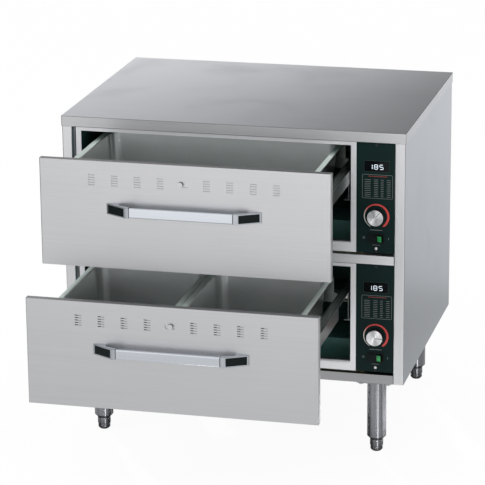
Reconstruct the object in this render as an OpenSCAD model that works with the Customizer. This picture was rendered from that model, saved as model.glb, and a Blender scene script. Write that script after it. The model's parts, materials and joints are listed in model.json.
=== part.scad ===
// Warming cabinet for a counter: two heated drawers in a sheet steel body on four levelling feet.
// Millimetres, +Z up, +Y towards the back, +X to the right of someone who faces the drawers.
// The origin lies on the surface that the feet stand on, under the middle of the cabinet.
// The drawers rest part open: the upper one by upper_open and the lower one by lower_open.

/* [Cabinet] */
// Width over the side panels
cabinet_w = 749; // [740:1:820]
// Depth from the front frame to the back panel
cabinet_d = 574; // [560:1:640]
// Height of the underside above the floor
leg_h = 168; // [140:1:200]
// Thickness of the body's sheet steel
sheet_t = 1.2; // [0.9:0.1:1.5]
// Outer radius where the sheet is bent
bend_r = 2.5; // [2:0.1:3]
// Width of the front face of each side panel
stile_w = 22.5; // [20:0.5:26]
// How far a side panel folds back behind its front face
stile_return = 12; // [10:0.5:16]
// Width of the lip at the end of that fold
stile_lip = 2.5; // [2:0.1:3]
// Width of a side panel's rear fold
rear_return = 16; // [14:0.5:22]
// Height of the top cover's flange
top_flange_h = 22.5; // [20:0.5:28]
// Height of the rail between the drawers
mid_rail_h = 19; // [16:0.5:24]
// Depth of the rail between the drawers
mid_rail_d = 25; // [20:1:30]
// Height of the base's front flange
bottom_rail_h = 19.5; // [17:0.5:24]
// Clearance between pieces that are screwed or laid together
fit_gap = 0.3; // [0.2:0.05:0.4]

/* [Drawer bay] */
// Height of the opening for one drawer
bay_h = 247; // [244:1:270]
// Gap between the left front face and the liner
side_gap = 8.35; // [6:0.05:10]
// Width of a control panel
panel_w = 81.05; // [78:0.05:90]
// Distance between the heated liner and the cabinet's back
liner_back_gap = 68.5; // [60:0.5:90]
// Height of the liner above the bottom of its bay
liner_rise = 6; // [5:0.5:8]
// Gap above the liner
liner_top_gap = 0.8; // [0.5:0.1:0.9]
// How far the liner's frame lies behind the cabinet's front
liner_recess = 0.5; // [0.3:0.1:1]
// Width of the liner's frame at each side
liner_frame_w = 11.7; // [10:0.1:12]
// Height of the liner's frame at the top
liner_head_h = 7.5; // [5:0.5:10]
// Height of the liner's rounded sill
sill_h = 22.5; // [18:0.5:26]
// Depth of the sill
sill_d = 14; // [12:0.5:18]
// Radius of the sill's front edge
sill_r = 8; // [5:0.5:10]
// Thickness of the insulation beside the controls
insulation_t = 12; // [8:1:16]
// Thickness of the insulation behind the liner
insulation_back_t = 25; // [15:1:30]
// How far the insulation starts behind the rail between the drawers
insulation_front_gap = 3; // [2:0.5:12]

/* [Drawer front] */
// Gap above a drawer front in its bay
front_top_gap = 3.5; // [2:0.5:8]
// Height of a drawer front above the bottom of its bay
front_rise = 16; // [12:0.5:17]
// Thickness of a drawer front
front_t = 15; // [12:0.5:20]
// Gap between a closed front and the liner's frame
seal_gap = 0.4; // [0.3:0.1:0.8]
// How far the upper drawer stands open at rest
upper_open = 237; // [0:1:385]
// How far the lower drawer stands open at rest
lower_open = 352; // [0:1:385]

/* [Vents] */
// Columns of vents on each side of the damper's knob
vents_per_side = 4; // [2:1:5]
// Distance between columns of vents
vent_pitch = 48.8; // [40:0.2:52]
// Slots in one column
vent_slots = 5; // [3:1:6]
// Distance between slots
vent_slot_pitch = 5.2; // [4.5:0.1:5.4]
// Width of a slot
vent_slot_w = 14; // [11:0.5:16]
// Height of a slot
vent_slot_h = 1.7; // [1.2:0.1:2.2]
// Distance of the vents below the top of the drawer front
vent_drop = 40; // [34:0.5:46]
// Thickness of the damper plate
damper_t = 1; // [0.8:0.1:1.5]
// How far the damper slides
damper_travel = 13; // [12:0.5:15]
// How far the shut damper laps past a slot
damper_lap = 0.5; // [0.3:0.1:2]
// Place of the upper damper in its travel at rest
upper_damper_at = 0; // [0:0.5:12]
// Place of the lower damper in its travel at rest
lower_damper_at = 6.5; // [0:0.5:12]
// Radius of the damper's knob
damper_knob_r = 5.75; // [5:0.25:7]
// Height of the damper's knob
damper_knob_h = 4; // [3:0.5:8]
// Radius of the damper's stud
damper_stud_r = 2.5; // [2:0.1:3]

/* [Handle] */
// Overall length of a handle
handle_w = 327; // [300:1:340]
// Height of a handle's end
handle_h = 22; // [18:0.5:28]
// How far a handle stands off the drawer front
handle_out = 27; // [25:0.5:36]
// Distance of a handle's middle below the top of the drawer front
handle_drop = 99.5; // [90:0.5:110]
// Length of the sloping end of a handle, along its width
handle_slope_w = 46; // [40:0.5:50]
// Width of a handle end's foot
handle_foot_w = 28; // [24:0.5:34]
// Width of a handle end's flat front
handle_nose_w = 7.5; // [4:0.5:10]
// Height of a handle's bar
handle_bar_h = 20; // [14:0.5:22]
// Thickness of a handle's bar
handle_bar_t = 8; // [6:0.5:10]
// Bright edge at each end of the dark inlay in a handle's slope
inlay_end = 4.2; // [2:0.1:8]
// Bright edge above and below the inlay
inlay_edge = 2.6; // [1:0.1:4]
// Thickness of the inlay
inlay_t = 1.2; // [0.8:0.1:2]

/* [Drawer frame] */
// Gap between the drawer's side rails and the liner's sides
frame_side_gap = 13.8; // [13.5:0.1:15]
// Distance of the frame's top face below the top of the bay
frame_drop = 63.5; // [59:0.5:70]
// Thickness of the frame's sheet
frame_t = 1.5; // [1.2:0.1:2]
// Width of a side rail's top face
rail_w = 20.7; // [20:0.1:21.5]
// Depth of the rails' side webs
web_h = 28; // [24:0.5:34]
// Length of the rails' outer webs
outer_web_l = 240; // [200:1:280]
// Gap between a closed drawer's side rails and the depth of the liner
rail_rear_gap = 25; // [20:1:40]
// Width of the front strip of the frame
frame_front_w = 15; // [12:0.5:16]
// Width of the rear strip of the frame
frame_rear_w = 20; // [16:0.5:26]
// Distance from the drawer's outer face to the rear of the frame's opening
frame_open_l = 354; // [350:0.5:360]
// Corner radius of the frame's opening
frame_corner_r = 12; // [6:1:20]

/* [Slides] */
// Radius of the rollers at the cabinet's front
front_roller_r = 10; // [9:0.1:10.5]
// Radius of the rollers at the drawer's rear
rear_roller_r = 7.8; // [6.5:0.1:8]
// Width of a roller
roller_w = 7.6; // [6:0.1:7.8]
// Radius of a roller's axle
axle_r = 3; // [2:0.1:3.5]
// Running gap of a roller
run_gap = 0.2; // [0.15:0.05:0.3]
// Depth of the slide's foot below the frame's top face
slide_foot_drop = 66; // [50:1:80]
// How much shorter a fixed slide is than the liner
slide_rear_gap = 40; // [34:1:50]

/* [Pans] */
// Gap between the pans' rims and the side rails' top faces
pan_side_gap = 9; // [7:0.5:12]
// Gap between the pans' rims and the rear of the frame's opening
pan_rear_gap = 9; // [7:0.5:15]
// Gap between the pans' floors and the baffle
pan_floor_gap = 18.8; // [10:0.1:100]
// Width of a pan's rim
pan_rim_w = 12; // [10:0.5:13]
// Thickness of a pan's rim
pan_rim_t = 2; // [1.5:0.1:2.5]
// Wall thickness of a pan
pan_wall = 1; // [0.8:0.1:1.5]
// Corner radius of a pan
pan_corner_r = 30; // [20:1:45]
// How much a pan narrows on each side down to its floor
pan_taper = 11; // [5:0.5:16]
// Distance of the pans' rims below the top of the bay
pan_drop = 26; // [21:0.5:32]
// Gap between the front of the frame and the pans' rims
pan_front_gap = 5.7; // [4:0.1:7]
// Gap between the rims of two half pans
pan_gap = 3; // [1:0.5:5]
// Width of the bar between half pans
adapter_w = 20; // [16:0.5:22]

/* [Heating] */
// Radius of the heating element's tube
element_r = 4; // [3.25:0.25:4.5]
// Height of the element above the liner's floor
element_rise = 27; // [20:1:32]
// Distance between runs of the element
element_pitch = 80; // [60:1:90]
// Distance of the element's first run behind the cabinet's front
element_y = 110; // [90:1:130]
// Distance of the element's feet from the middle of the bay
element_foot_x = 150; // [100:5:180]
// Height of the baffle above the liner's floor
baffle_rise = 45; // [40:1:50]
// Gap between the baffle and the liner's sides
baffle_side_gap = 25.8; // [15:0.1:35]
// Gap between the baffle and the liner's ends
baffle_end_gap = 52.5; // [40:0.5:60]

/* [Controls] */
// How far the control panels lie behind the cabinet's front
panel_recess = 2; // [1:0.5:3]
// How far the controls sit to the right of the panel's middle
controls_shift = 2; // [0:0.5:3]
// Height of the display's middle above the bottom of the bay
display_z = 195.5; // [190:0.5:205]
// Width of the display
display_w = 52; // [44:0.5:56]
// Height of the display
display_h = 22; // [18:0.5:26]
// Height of the thermostat's shaft above the bottom of the bay
knob_z = 86.5; // [82:0.5:96]
// Radius of the thermostat's knob
knob_r = 17.5; // [14:0.5:20]
// How far the knob stands out
knob_h = 17; // [14:0.5:20]
// Angle of the upper knob's pointer at rest, clockwise from the top
upper_knob_angle = 38; // [0:1:359]
// Angle of the lower knob's pointer at rest
lower_knob_angle = 92; // [0:1:359]
// Radius of the thermostat's can
thermostat_r = 22; // [18:0.5:24]
// Depth of the thermostat's can
thermostat_d = 26; // [20:1:34]
// Height of the switch's middle above the bottom of the bay
switch_z = 38.5; // [35:0.5:40]
// Width of the switch's bezel
switch_w = 37; // [33:0.5:40]
// Height of the switch's bezel
switch_h = 22; // [20:0.5:24]
// Tilt of the rocker to each side
rocker_tilt = 8; // [5:0.5:8]
// Height of the pilot lamp above the bottom of the bay
lamp_z = 16.5; // [16:0.5:19]
// Radius of the pilot lamp's bezel
lamp_r = 4; // [3:0.25:4.5]

/* [Legs] */
// Gap between a leg's top plate and the side of the base
leg_side_gap = 26; // [5:0.5:40]
// Gap between a leg's top plate and the front
leg_front_gap = 4; // [3:0.5:30]
// Gap between a leg's top plate and the back
leg_rear_gap = 18; // [4:0.5:40]
// Radius of a leg's tube
leg_r = 20.6; // [16:0.1:24]
// Wall thickness of a leg's tube
leg_wall = 1.5; // [1.2:0.1:2.5]
// Side of a leg's square top plate
leg_plate_w = 76; // [68:1:80]
// Thickness of a leg's top plate
leg_plate_t = 3; // [2:0.5:5]
// Distance of a leg's bolts from the edge of its top plate
leg_bolt_edge = 9; // [8:0.5:11]
// Radius of a levelling foot
foot_r = 14.3; // [10:0.1:16]
// Height of a levelling foot below its leg
foot_h = 28; // [22:0.5:36]
// Radius of a levelling foot's stem
foot_stem_r = 8; // [5:0.5:9]
// Length of a levelling foot's stem
foot_stem_l = 60; // [50:1:70]

/* [Back] */
// Distance of the cable gland from the cabinet's right side
gland_side_gap = 52.5; // [40:0.5:65]
// Height of the cable gland above the cabinet's underside
gland_z = 70; // [60:1:90]
// Radius of the cable gland's bore
gland_bore_r = 5; // [4:0.25:6.5]
// Length of the cable gland outside the back panel
gland_out = 24; // [16:1:30]

/* [Hidden] */
$fn = 48;

// Bays are numbered from below
LOWER = 0;
UPPER = 1;

// Cabinet
front_y = -cabinet_d / 2;
back_y = cabinet_d / 2;
side_x = cabinet_w / 2;
top_z = leg_h + bottom_rail_h + 2 * bay_h + mid_rail_h + top_flange_h;
bay_z = [leg_h + bottom_rail_h, leg_h + bottom_rail_h + bay_h + mid_rail_h];
cover_lap = sheet_t + fit_gap;
side_back_y = back_y - cover_lap;
rail_half_w = side_x - stile_w - fit_gap;
base_half_w = side_x - cover_lap;
base_back_y = side_back_y - cover_lap;
stile_back_y = front_y + stile_return + cover_lap;
cover_under_z = top_z - cover_lap;

// Liner
liner_w = cabinet_w - 2 * stile_w - side_gap - panel_w - 2 * fit_gap;
liner_d = cabinet_d - liner_recess - liner_back_gap;
liner_x0 = -side_x + stile_w + side_gap;
liner_x1 = liner_x0 + liner_w;
bay_x = (liner_x0 + liner_x1) / 2;
liner_y0 = front_y + liner_recess;
liner_y1 = liner_y0 + liner_d;
liner_top = bay_h - liner_top_gap;
liner_floor = liner_rise + sheet_t;
liner_inner_w = liner_w / 2 - sheet_t;
loft_z = bay_z[UPPER] - mid_rail_h / 2;

// Drawer: y counts from the outer face of the drawer front
front_w = liner_w;
front_h = bay_h - front_rise - front_top_gap;
closed_y = liner_y0 - seal_gap - front_t;
open_by = [lower_open, upper_open];
vent_z = front_rise + front_h - vent_drop;
handle_z = front_rise + front_h - handle_drop;
vent_xs = [for (side = [-1, 1]) for (k = [1:vents_per_side]) side * k * vent_pitch];
vent_zs = [for (k = [0:vent_slots - 1]) (k - (vent_slots - 1) / 2) * vent_slot_pitch];
damper_at = [lower_damper_at, upper_damper_at];
damper_h = vent_slots * vent_slot_pitch + 8;
damper_shift = damper_travel / 2 - vent_slot_w - damper_lap;
damper_half_w = vents_per_side * vent_pitch + vent_slot_w / 2 + max(damper_travel / 2 + 2, 4 - damper_shift);
damper_y = sheet_t + fit_gap;
damper_slot_h = 2 * damper_knob_r - 1;
damper_slot_w = damper_travel + damper_slot_h;
guide_t = 2;
guide_reach = 3;
guide_y = damper_y + damper_t + fit_gap;
rail_start = front_t + fit_gap;
rail_l = liner_d - rail_rear_gap;
frame_w = liner_w - 2 * frame_side_gap;
frame_z = bay_h - frame_drop;
pan_z = bay_h - pan_drop;
pan_y = rail_start + pan_front_gap;
pan_w = frame_w - 2 * rail_w - 2 * pan_side_gap;
pan_d = frame_open_l - pan_y - pan_rear_gap;
pan_h = pan_z - liner_floor - baffle_rise - pan_floor_gap;
ledge_z = pan_z - pan_rim_t - run_gap;
ledge_half_w = pan_w / 2 - 1.5;
frame_half_w = frame_w / 2;
hanger_x = frame_half_w - rail_w + 2;
inner_web_x = hanger_x + frame_t;
frame_open_y0 = rail_start + frame_front_w;
notch_w = adapter_w / 2 + 0.7;

// Slides: x counts from the middle of the bay
outer_web_x = frame_half_w - frame_t;
slide_l = liner_d - slide_rear_gap;
slide_web_x = outer_web_x - 1.2 - frame_t;
roller_x1 = slide_web_x - run_gap;
roller_x0 = roller_x1 - roller_w;
slide_lip_x = roller_x0 - 0.5;
track_h = 2 * rear_roller_r + 2 * run_gap;
front_roller_z = frame_z - frame_t - run_gap - front_roller_r;
slide_top_z = frame_z - frame_t - 3.5;
track_z = slide_top_z - frame_t - track_h;
rear_roller_z = track_z + run_gap + rear_roller_r;
slide_foot_z = frame_z - slide_foot_drop;
slide_y0 = liner_y0 + sheet_t + 1.5;
front_roller_y = slide_y0 + front_roller_r + 2;
rear_roller_y = rail_l - 15;

// Heating
element_z = liner_floor + element_rise;
baffle_w = 2 * (liner_inner_w - baffle_side_gap);
baffle_d = liner_d - 2 * baffle_end_gap;
element_foot_t = 1.5;
element_ys = [for (k = [0:3]) front_y + element_y + k * element_pitch];
element_end_x = liner_w / 2 + insulation_t + 16;
element_hole_r = element_r + 1;
baffle_y = front_y + baffle_end_gap + 20;

// Controls
panel_x0 = liner_x1 + fit_gap;
panel_x1 = side_x - stile_w - fit_gap;
controls_x = (panel_x0 + panel_x1) / 2 + controls_shift;
panel_y = front_y + panel_recess;
panel_back_y = panel_y + sheet_t;
panel_fold = stile_return - panel_recess - fit_gap;
knob_gap = 0.8;
shaft_r = 3;
bush_r = 5;
capillary_r = 1.5;
bulb_r = 3.2;
bulb_l = 90;
bulb_gap = 2.5;
bulb_x = bay_x + liner_inner_w - bulb_r - bulb_gap;
capillary_run = 30;
bulb_lead = 10;
capillary_y = panel_back_y + thermostat_d + capillary_run;
rocker_w = switch_w - 8.6;
rocker_h = switch_h - 7.6;
rocker_wall = 1.2;
rocker_pivot = 5;
rocker_pin_r = 1.5;
lamp_rim_t = 1.5;
lamp_case_d = 16;
lamp_body_r = lamp_r - 1;
panel_screw_zs = [liner_rise + sheet_t + 1.7, liner_top - sheet_t - 3.4];

// Legs
leg_x = base_half_w - leg_plate_w / 2 - leg_side_gap;
leg_bolt_pitch = leg_plate_w - 2 * leg_bolt_edge;
leg_ys = [front_y + leg_plate_w / 2 + leg_front_gap, back_y - leg_plate_w / 2 - leg_rear_gap];
leg_places = [for (x = [-leg_x, leg_x]) for (y = leg_ys) [x, y]];
bolt_r = 3;
plug_h = 25;
leg_chamfer = 6.5;

// Fasteners
screw_r = 1.9;
screw_head_r = 4;
screw_head_h = 2.2;
small_screw_r = 1.4;
small_head_r = 2.3;
back_screw_xs = [-(side_x - rear_return / 2 - 1), side_x - rear_return / 2 - 1];
back_screw_zs = [for (k = [0:4]) leg_h + 30 + k * (top_z - top_flange_h - leg_h - 60) / 4];

// Wiring
gland_x = side_x - gland_side_gap;
loom_r = 3;
loom_x = base_half_w - cover_lap - loom_r;
loom_back_gap = 90;
loom_y = back_y - loom_back_gap;
block_size = [44, 26, 20];
block_x = gland_x;
switch_depth = 24;

// ---- Helpers ----

// A rectangle with true round corners, about its middle
module rounded_rect(w, d, r) {
    square([w - 2 * r, d], center = true);
    square([w, d - 2 * r], center = true);
    for (x = [-1, 1]) for (y = [-1, 1])
        translate([x * (w / 2 - r), y * (d / 2 - r)]) circle(r);
}

// A box between two corners
module box(low, high) {
    translate(low) cube(high - low);
}

// A quarter of a bent sheet's cross-section, turned by a degrees
module quarter_bend(r, t, a) {
    rotate(a) intersection() {
        difference() {
            circle(r);
            circle(r - t);
        }
        square(r + 1);
    }
}

// A tube or rod along an axis from a point
module rod_x(x0, x1, r) { translate([x0, 0, 0]) rotate([0, 90, 0]) cylinder(h = x1 - x0, r = r); }
module rod_y(y0, y1, r) { translate([0, y0, 0]) rotate([-90, 0, 0]) cylinder(h = y1 - y0, r = r); }

// Places in a bay and in a drawer
module in_bay(b) { translate([bay_x, 0, bay_z[b]]) children(); }
module in_drawer(b) { translate([bay_x, closed_y - open_by[b], bay_z[b]]) children(); }
module on_panel(b, z) { translate([controls_x, panel_y, bay_z[b] + z]) children(); }
module both_sides() {
    children();
    mirror([1, 0, 0]) children();
}

// ---- Cabinet ----

module top_cover() {
    w = cabinet_w + 2 * cover_lap;
    d = cabinet_d + 2 * cover_lap;
    color("silver") translate([0, 0, top_z - top_flange_h]) difference() {
        linear_extrude(top_flange_h) rounded_rect(w, d, bend_r);
        translate([0, 0, -1]) linear_extrude(top_flange_h - sheet_t + 1)
            rounded_rect(w - 2 * sheet_t, d - 2 * sheet_t, bend_r - sheet_t);
    }
}

// Plan of a side panel: front face, fold and lip, wall, rear fold
module side_profile() {
    x0 = -side_x;
    x1 = x0 + stile_w;
    y1 = front_y + stile_return;
    translate([x0, front_y + bend_r]) square([sheet_t, side_back_y - front_y - bend_r]);
    translate([x0 + bend_r, front_y + bend_r]) quarter_bend(bend_r, sheet_t, 180);
    translate([x0 + bend_r, front_y]) square([stile_w - 2 * bend_r, sheet_t]);
    translate([x1 - bend_r, front_y + bend_r]) quarter_bend(bend_r, sheet_t, 270);
    translate([x1 - sheet_t, front_y + bend_r]) square([sheet_t, stile_return - bend_r + sheet_t]);
    translate([x1 - sheet_t, y1]) square([sheet_t + stile_lip, sheet_t]);
    translate([x0, side_back_y - sheet_t]) square([rear_return, sheet_t]);
}

module side_panel() {
    color("silver") difference() {
        translate([0, 0, leg_h]) linear_extrude(cover_under_z - leg_h) side_profile();
        back_screw_places() rod_y(-screw_head_h - 3 * sheet_t, 1, screw_r + 0.15);
    }
}

module back_screw_places() {
    for (x = back_screw_xs) for (z = back_screw_zs)
        translate([x, back_y, z]) children();
}

module left_side_panel() { side_panel(); }
module right_side_panel() { mirror([1, 0, 0]) side_panel(); }

module back_panel() {
    louvre_w = 50;
    louvre_h = 3;
    color("silver") difference() {
        box([-base_half_w, side_back_y + fit_gap, leg_h],
            [base_half_w, back_y, cover_under_z]);
        back_screw_places() rod_y(-3 * sheet_t, 1, screw_r + 0.15);
        translate([gland_x, back_y, leg_h + gland_z]) rod_y(-3 * sheet_t, 1, gland_bore_r + 6.1);
        for (b = [LOWER, UPPER]) for (k = [0:5])
            translate([gland_x - louvre_w / 2, back_y - 3 * sheet_t, bay_z[b] + 110 + k * 12])
                cube([louvre_w, 4 * sheet_t, louvre_h]);
    }
}

// Floor of the cabinet, with a front flange that shows as the lower rail
module base_pan() {
    y_fold = stile_back_y + fit_gap;
    color("silver") difference() {
        union() {
            box([-rail_half_w, front_y, leg_h], [rail_half_w, y_fold + 1, leg_h + sheet_t]);
            box([-base_half_w, y_fold, leg_h], [base_half_w, base_back_y, leg_h + sheet_t]);
            box([-rail_half_w, front_y, leg_h],
                [rail_half_w, front_y + sheet_t, leg_h + bottom_rail_h]);
            box([-rail_half_w, front_y, leg_h + bottom_rail_h - sheet_t],
                [rail_half_w, front_y + stile_return, leg_h + bottom_rail_h]);
            box([-base_half_w, base_back_y - sheet_t, leg_h],
                [base_half_w, base_back_y, leg_h + bottom_rail_h]);
            both_sides() box([base_half_w - sheet_t, y_fold, leg_h],
                [base_half_w, base_back_y, leg_h + bottom_rail_h]);
        }
        both_sides() box([rail_half_w - stile_lip - 1, front_y + stile_return, leg_h - 1],
            [rail_half_w + 1, y_fold, leg_h + sheet_t + 1]);
        leg_bolt_places() translate([0, 0, -1]) cylinder(h = sheet_t + 2, r = bolt_r + 0.1);
    }
}

module mid_rail() {
    z0 = bay_z[LOWER] + bay_h;
    z1 = bay_z[UPPER];
    color("silver") difference() {
        box([-rail_half_w, front_y, z0], [rail_half_w, front_y + mid_rail_d, z1]);
        box([-rail_half_w - 1, front_y + sheet_t, z0 + sheet_t],
            [rail_half_w + 1, front_y + mid_rail_d + 1, z1 - sheet_t]);
        both_sides() box([rail_half_w - stile_lip - 1, front_y + stile_return - 1, z0 - 1],
            [rail_half_w + 1, front_y + mid_rail_d + 1, z1 + 1]);
    }
}

module leg_bolt_places() {
    for (p = leg_places) for (x = [-1, 1]) for (y = [-1, 1])
        translate([p[0] + x * leg_bolt_pitch / 2, p[1] + y * leg_bolt_pitch / 2, leg_h])
            children();
}

// ---- Heated bay ----

// Section of the rounded sill, y to the back and z up
module sill_profile() {
    translate([0, 0]) square([sheet_t, sill_h - sill_r]);
    translate([sill_r, sill_h - sill_r]) quarter_bend(sill_r, sheet_t, 90);
    translate([sill_r, sill_h - sheet_t]) square([sill_d - sill_r, sheet_t]);
    translate([sill_d - sheet_t, 0]) square([sheet_t, sill_h]);
}

module liner(b) {
    half = liner_w / 2;
    head_z = liner_top - liner_head_h;
    color("gainsboro") in_bay(b) difference() {
        union() {
            difference() {
                box([-half, liner_y0, liner_rise], [half, liner_y1, liner_top]);
                box([-liner_inner_w, liner_y0 - 1, liner_floor],
                    [liner_inner_w, liner_y1 - sheet_t, liner_top - sheet_t]);
            }
            both_sides() box([half - liner_frame_w, liner_y0, liner_rise],
                [half, liner_y0 + sheet_t, liner_top]);
            box([-half, liner_y0, head_z], [half, liner_y0 + sheet_t, liner_top]);
            translate([-half, liner_y0, liner_rise]) rotate([90, 0, 90])
                linear_extrude(liner_w) sill_profile();
        }
        for (y = [element_ys[0], element_ys[3]])
            translate([0, y, element_z]) rod_x(half - 3, half + 1, element_hole_r);
        translate([0, capillary_y, knob_z]) rod_x(half - 3, half + 1, capillary_r + 0.3);
    }
}

module upper_liner() { liner(UPPER); }
module lower_liner() { liner(LOWER); }

// Blanket that fills the space between a liner and the sheet around it
module insulation(b) {
    z0 = (b == LOWER) ? leg_h + cover_lap : loft_z + fit_gap / 2;
    z1 = (b == LOWER) ? loft_z - fit_gap / 2 : cover_under_z - fit_gap;
    color("wheat") difference() {
        box([-base_half_w + cover_lap, front_y + mid_rail_d + insulation_front_gap, z0],
            [liner_x1 + insulation_t, liner_y1 + insulation_back_t, z1]);
        box([liner_x0 - fit_gap, front_y, bay_z[b] + liner_rise - fit_gap],
            [liner_x1 + fit_gap, liner_y1 + fit_gap, bay_z[b] + liner_top + fit_gap]);
        for (y = [element_ys[0], element_ys[3]])
            translate([liner_x1, y, bay_z[b] + element_z])
                rod_x(-1, insulation_t + 1, element_hole_r);
        translate([liner_x1, capillary_y, bay_z[b] + knob_z])
            rod_x(-1, insulation_t + 1, capillary_r + 0.3);
    }
}

module upper_insulation() { insulation(UPPER); }
module lower_insulation() { insulation(LOWER); }

// Track that carries a drawer at one side, folded from one strip, with the front roller's axle
module fixed_slide() {
    y1 = slide_y0 + slide_l;
    wall_x = liner_inner_w - fit_gap;
    track_y0 = front_roller_y + front_roller_r + 2;
    box([slide_lip_x, track_y0, slide_top_z - frame_t], [slide_web_x + frame_t, y1, slide_top_z]);
    box([slide_lip_x, slide_y0, track_z - frame_t], [slide_web_x + frame_t, y1, track_z]);
    box([slide_web_x, slide_y0, slide_foot_z], [slide_web_x + frame_t, y1, slide_top_z]);
    box([slide_lip_x, slide_y0, slide_foot_z], [wall_x, y1, slide_foot_z + frame_t]);
    box([wall_x - frame_t, slide_y0, slide_foot_z], [wall_x, y1, slide_foot_z + 25]);
    translate([0, front_roller_y, front_roller_z]) {
        rod_x(roller_x0 - run_gap, slide_web_x + 0.5, axle_r);
        rod_x(roller_x0 - run_gap - 1, roller_x0 - run_gap, axle_r + 1.5);
    }
}

module fixed_slides(b) { color("lightgray") in_bay(b) both_sides() fixed_slide(); }
module upper_fixed_slides() { fixed_slides(UPPER); }
module lower_fixed_slides() { fixed_slides(LOWER); }

// Tubular element: four runs joined by three bends, on two brazed feet
module heating_element(b) {
    bend_x = baffle_w / 2 - 6 - element_pitch / 2 - element_r;
    foot_y0 = element_ys[0] - 15;
    foot_y1 = element_ys[3] + 15;
    color("dimgray") in_bay(b) {
        for (k = [0:3]) translate([0, element_ys[k], element_z])
            rod_x(-bend_x, (k == 0 || k == 3) ? element_end_x : bend_x, element_r);
        for (k = [0:2]) {
            side = (k == 1) ? 1 : -1;
            translate([side * bend_x, (element_ys[k] + element_ys[k + 1]) / 2, element_z])
                rotate(-90 * side) rotate_extrude(angle = 180)
                    translate([element_pitch / 2, 0]) circle(element_r);
        }
        for (k = [0, 3]) translate([0, element_ys[k], element_z])
            rod_x(element_end_x - 1, element_end_x + 10, element_r / 2);
        both_sides() box([element_foot_x, foot_y0, liner_floor],
            [element_foot_x + element_foot_t, foot_y1, element_z]);
    }
}

module upper_heating_element() { heating_element(UPPER); }
module lower_heating_element() { heating_element(LOWER); }

// Slotted cover over the element, standing on its folded edges
module heat_baffle(b) {
    z1 = liner_floor + baffle_rise;
    half = baffle_w / 2;
    t = 1;
    slot_margin = 40;
    slot_gap = 24;
    slot_pitch = (baffle_w - slot_margin) / 5;
    slot_w = slot_pitch - slot_gap;
    row_pitch = (baffle_d - 2 * slot_margin) / 4;
    color("gray") in_bay(b) difference() {
        box([-half, baffle_y, liner_floor], [half, baffle_y + baffle_d, z1]);
        box([-half + t, baffle_y + t, liner_floor - 1],
            [half - t, baffle_y + baffle_d - t, z1 - t]);
        for (k = [-2:2]) for (row = [0:4])
            translate([k * slot_pitch - slot_w / 2, baffle_y + slot_margin - 4 + row * row_pitch, z1 - 5])
                cube([slot_w, 8, 10]);
        for (y = [element_ys[0], element_ys[3]])
            box([half - 5, y - element_hole_r, liner_floor - 1],
                [half + 5, y + element_hole_r, element_z + element_hole_r]);
    }
}

module upper_heat_baffle() { heat_baffle(UPPER); }
module lower_heat_baffle() { heat_baffle(LOWER); }

// ---- Controls ----

module control_panel(b) {
    z0 = bay_z[b] + liner_rise;
    z1 = bay_z[b] + liner_top;
    color("#20262a") difference() {
        box([panel_x0, panel_y, z0], [panel_x1, panel_y + panel_fold, z1]);
        box([panel_x0 + sheet_t, panel_back_y, z0 + sheet_t],
            [panel_x1 - sheet_t, panel_y + panel_fold + 1, z1 - sheet_t]);
        on_panel(b, display_z) cube([display_w - 3, 10, display_h - 3], center = true);
        on_panel(b, knob_z) rod_y(-1, 5, bush_r + 0.2);
        on_panel(b, switch_z) cube([switch_w - 3, 10, switch_h - 3], center = true);
        on_panel(b, lamp_z) rod_y(-1, 5, lamp_body_r + 0.15);
        for (z = panel_screw_zs) on_panel(b, z) rod_y(-1, 5, small_screw_r + 0.15);
    }
}

module upper_control_panel() { control_panel(UPPER); }
module lower_control_panel() { control_panel(LOWER); }

// Temperature display: a flat window in a thin frame, and its case behind the panel
module display(b) {
    color("#101418") on_panel(b, display_z) {
        translate([0, -fit_gap, 0]) rotate([90, 0, 0])
            linear_extrude(1.2) rounded_rect(display_w, display_h, 1.5);
        box([-display_w / 2 + 2, -fit_gap - 0.5, -display_h / 2 + 2],
            [display_w / 2 - 2, 24, display_h / 2 - 2]);
    }
}

module upper_display() { display(UPPER); }
module lower_display() { display(LOWER); }

// Thermostat: can and bush behind the panel, a thin pipe, and the bulb that feels the air
module thermostat(b) {
    z = bay_z[b] + knob_z;
    y0 = panel_back_y + fit_gap;
    y1 = y0 + thermostat_d;
    color("darkgray") difference() {
        union() {
            translate([controls_x, 0, z]) {
                rod_y(y0, y1, thermostat_r);
                rod_y(panel_y - knob_gap / 2, y0 + 1, bush_r);
                rod_y(y1 - 1, capillary_y, capillary_r);
            }
            translate([0, capillary_y, z]) rod_x(bulb_x, controls_x, capillary_r);
            translate([controls_x, capillary_y, z]) sphere(capillary_r);
            translate([bulb_x, 0, z]) rod_y(capillary_y - bulb_lead, capillary_y + bulb_l, bulb_r);
        }
        translate([controls_x, 0, z]) rod_y(panel_y - 2, y1 - 6, shaft_r + 0.08);
    }
}

module upper_thermostat() { thermostat(UPPER); }
module lower_thermostat() { thermostat(LOWER); }

module thermostat_knob(b) {
    rib_w = 1.6;
    rib_h = 0.8;
    knob_angle = b == UPPER ? upper_knob_angle : lower_knob_angle;
    shaft_end = sheet_t + thermostat_d - 8;
    color("silver") on_panel(b, knob_z) rotate([0, knob_angle, 0]) {
        difference() {
            rod_y(-knob_h + rib_h, -knob_gap, knob_r);
            rod_y(-3, 0, knob_r - 3);
        }
        rod_y(-knob_h + rib_h + 1, shaft_end, shaft_r);
        box([-rib_w / 2, -knob_h, 2.5], [rib_w / 2, -knob_h + rib_h + 1, knob_r - 0.6]);
        rod_y(-knob_h + rib_h + 1, -3, shaft_r + 3);
    }
}

module upper_thermostat_knob() { thermostat_knob(UPPER); }
module lower_thermostat_knob() { thermostat_knob(LOWER); }

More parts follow.
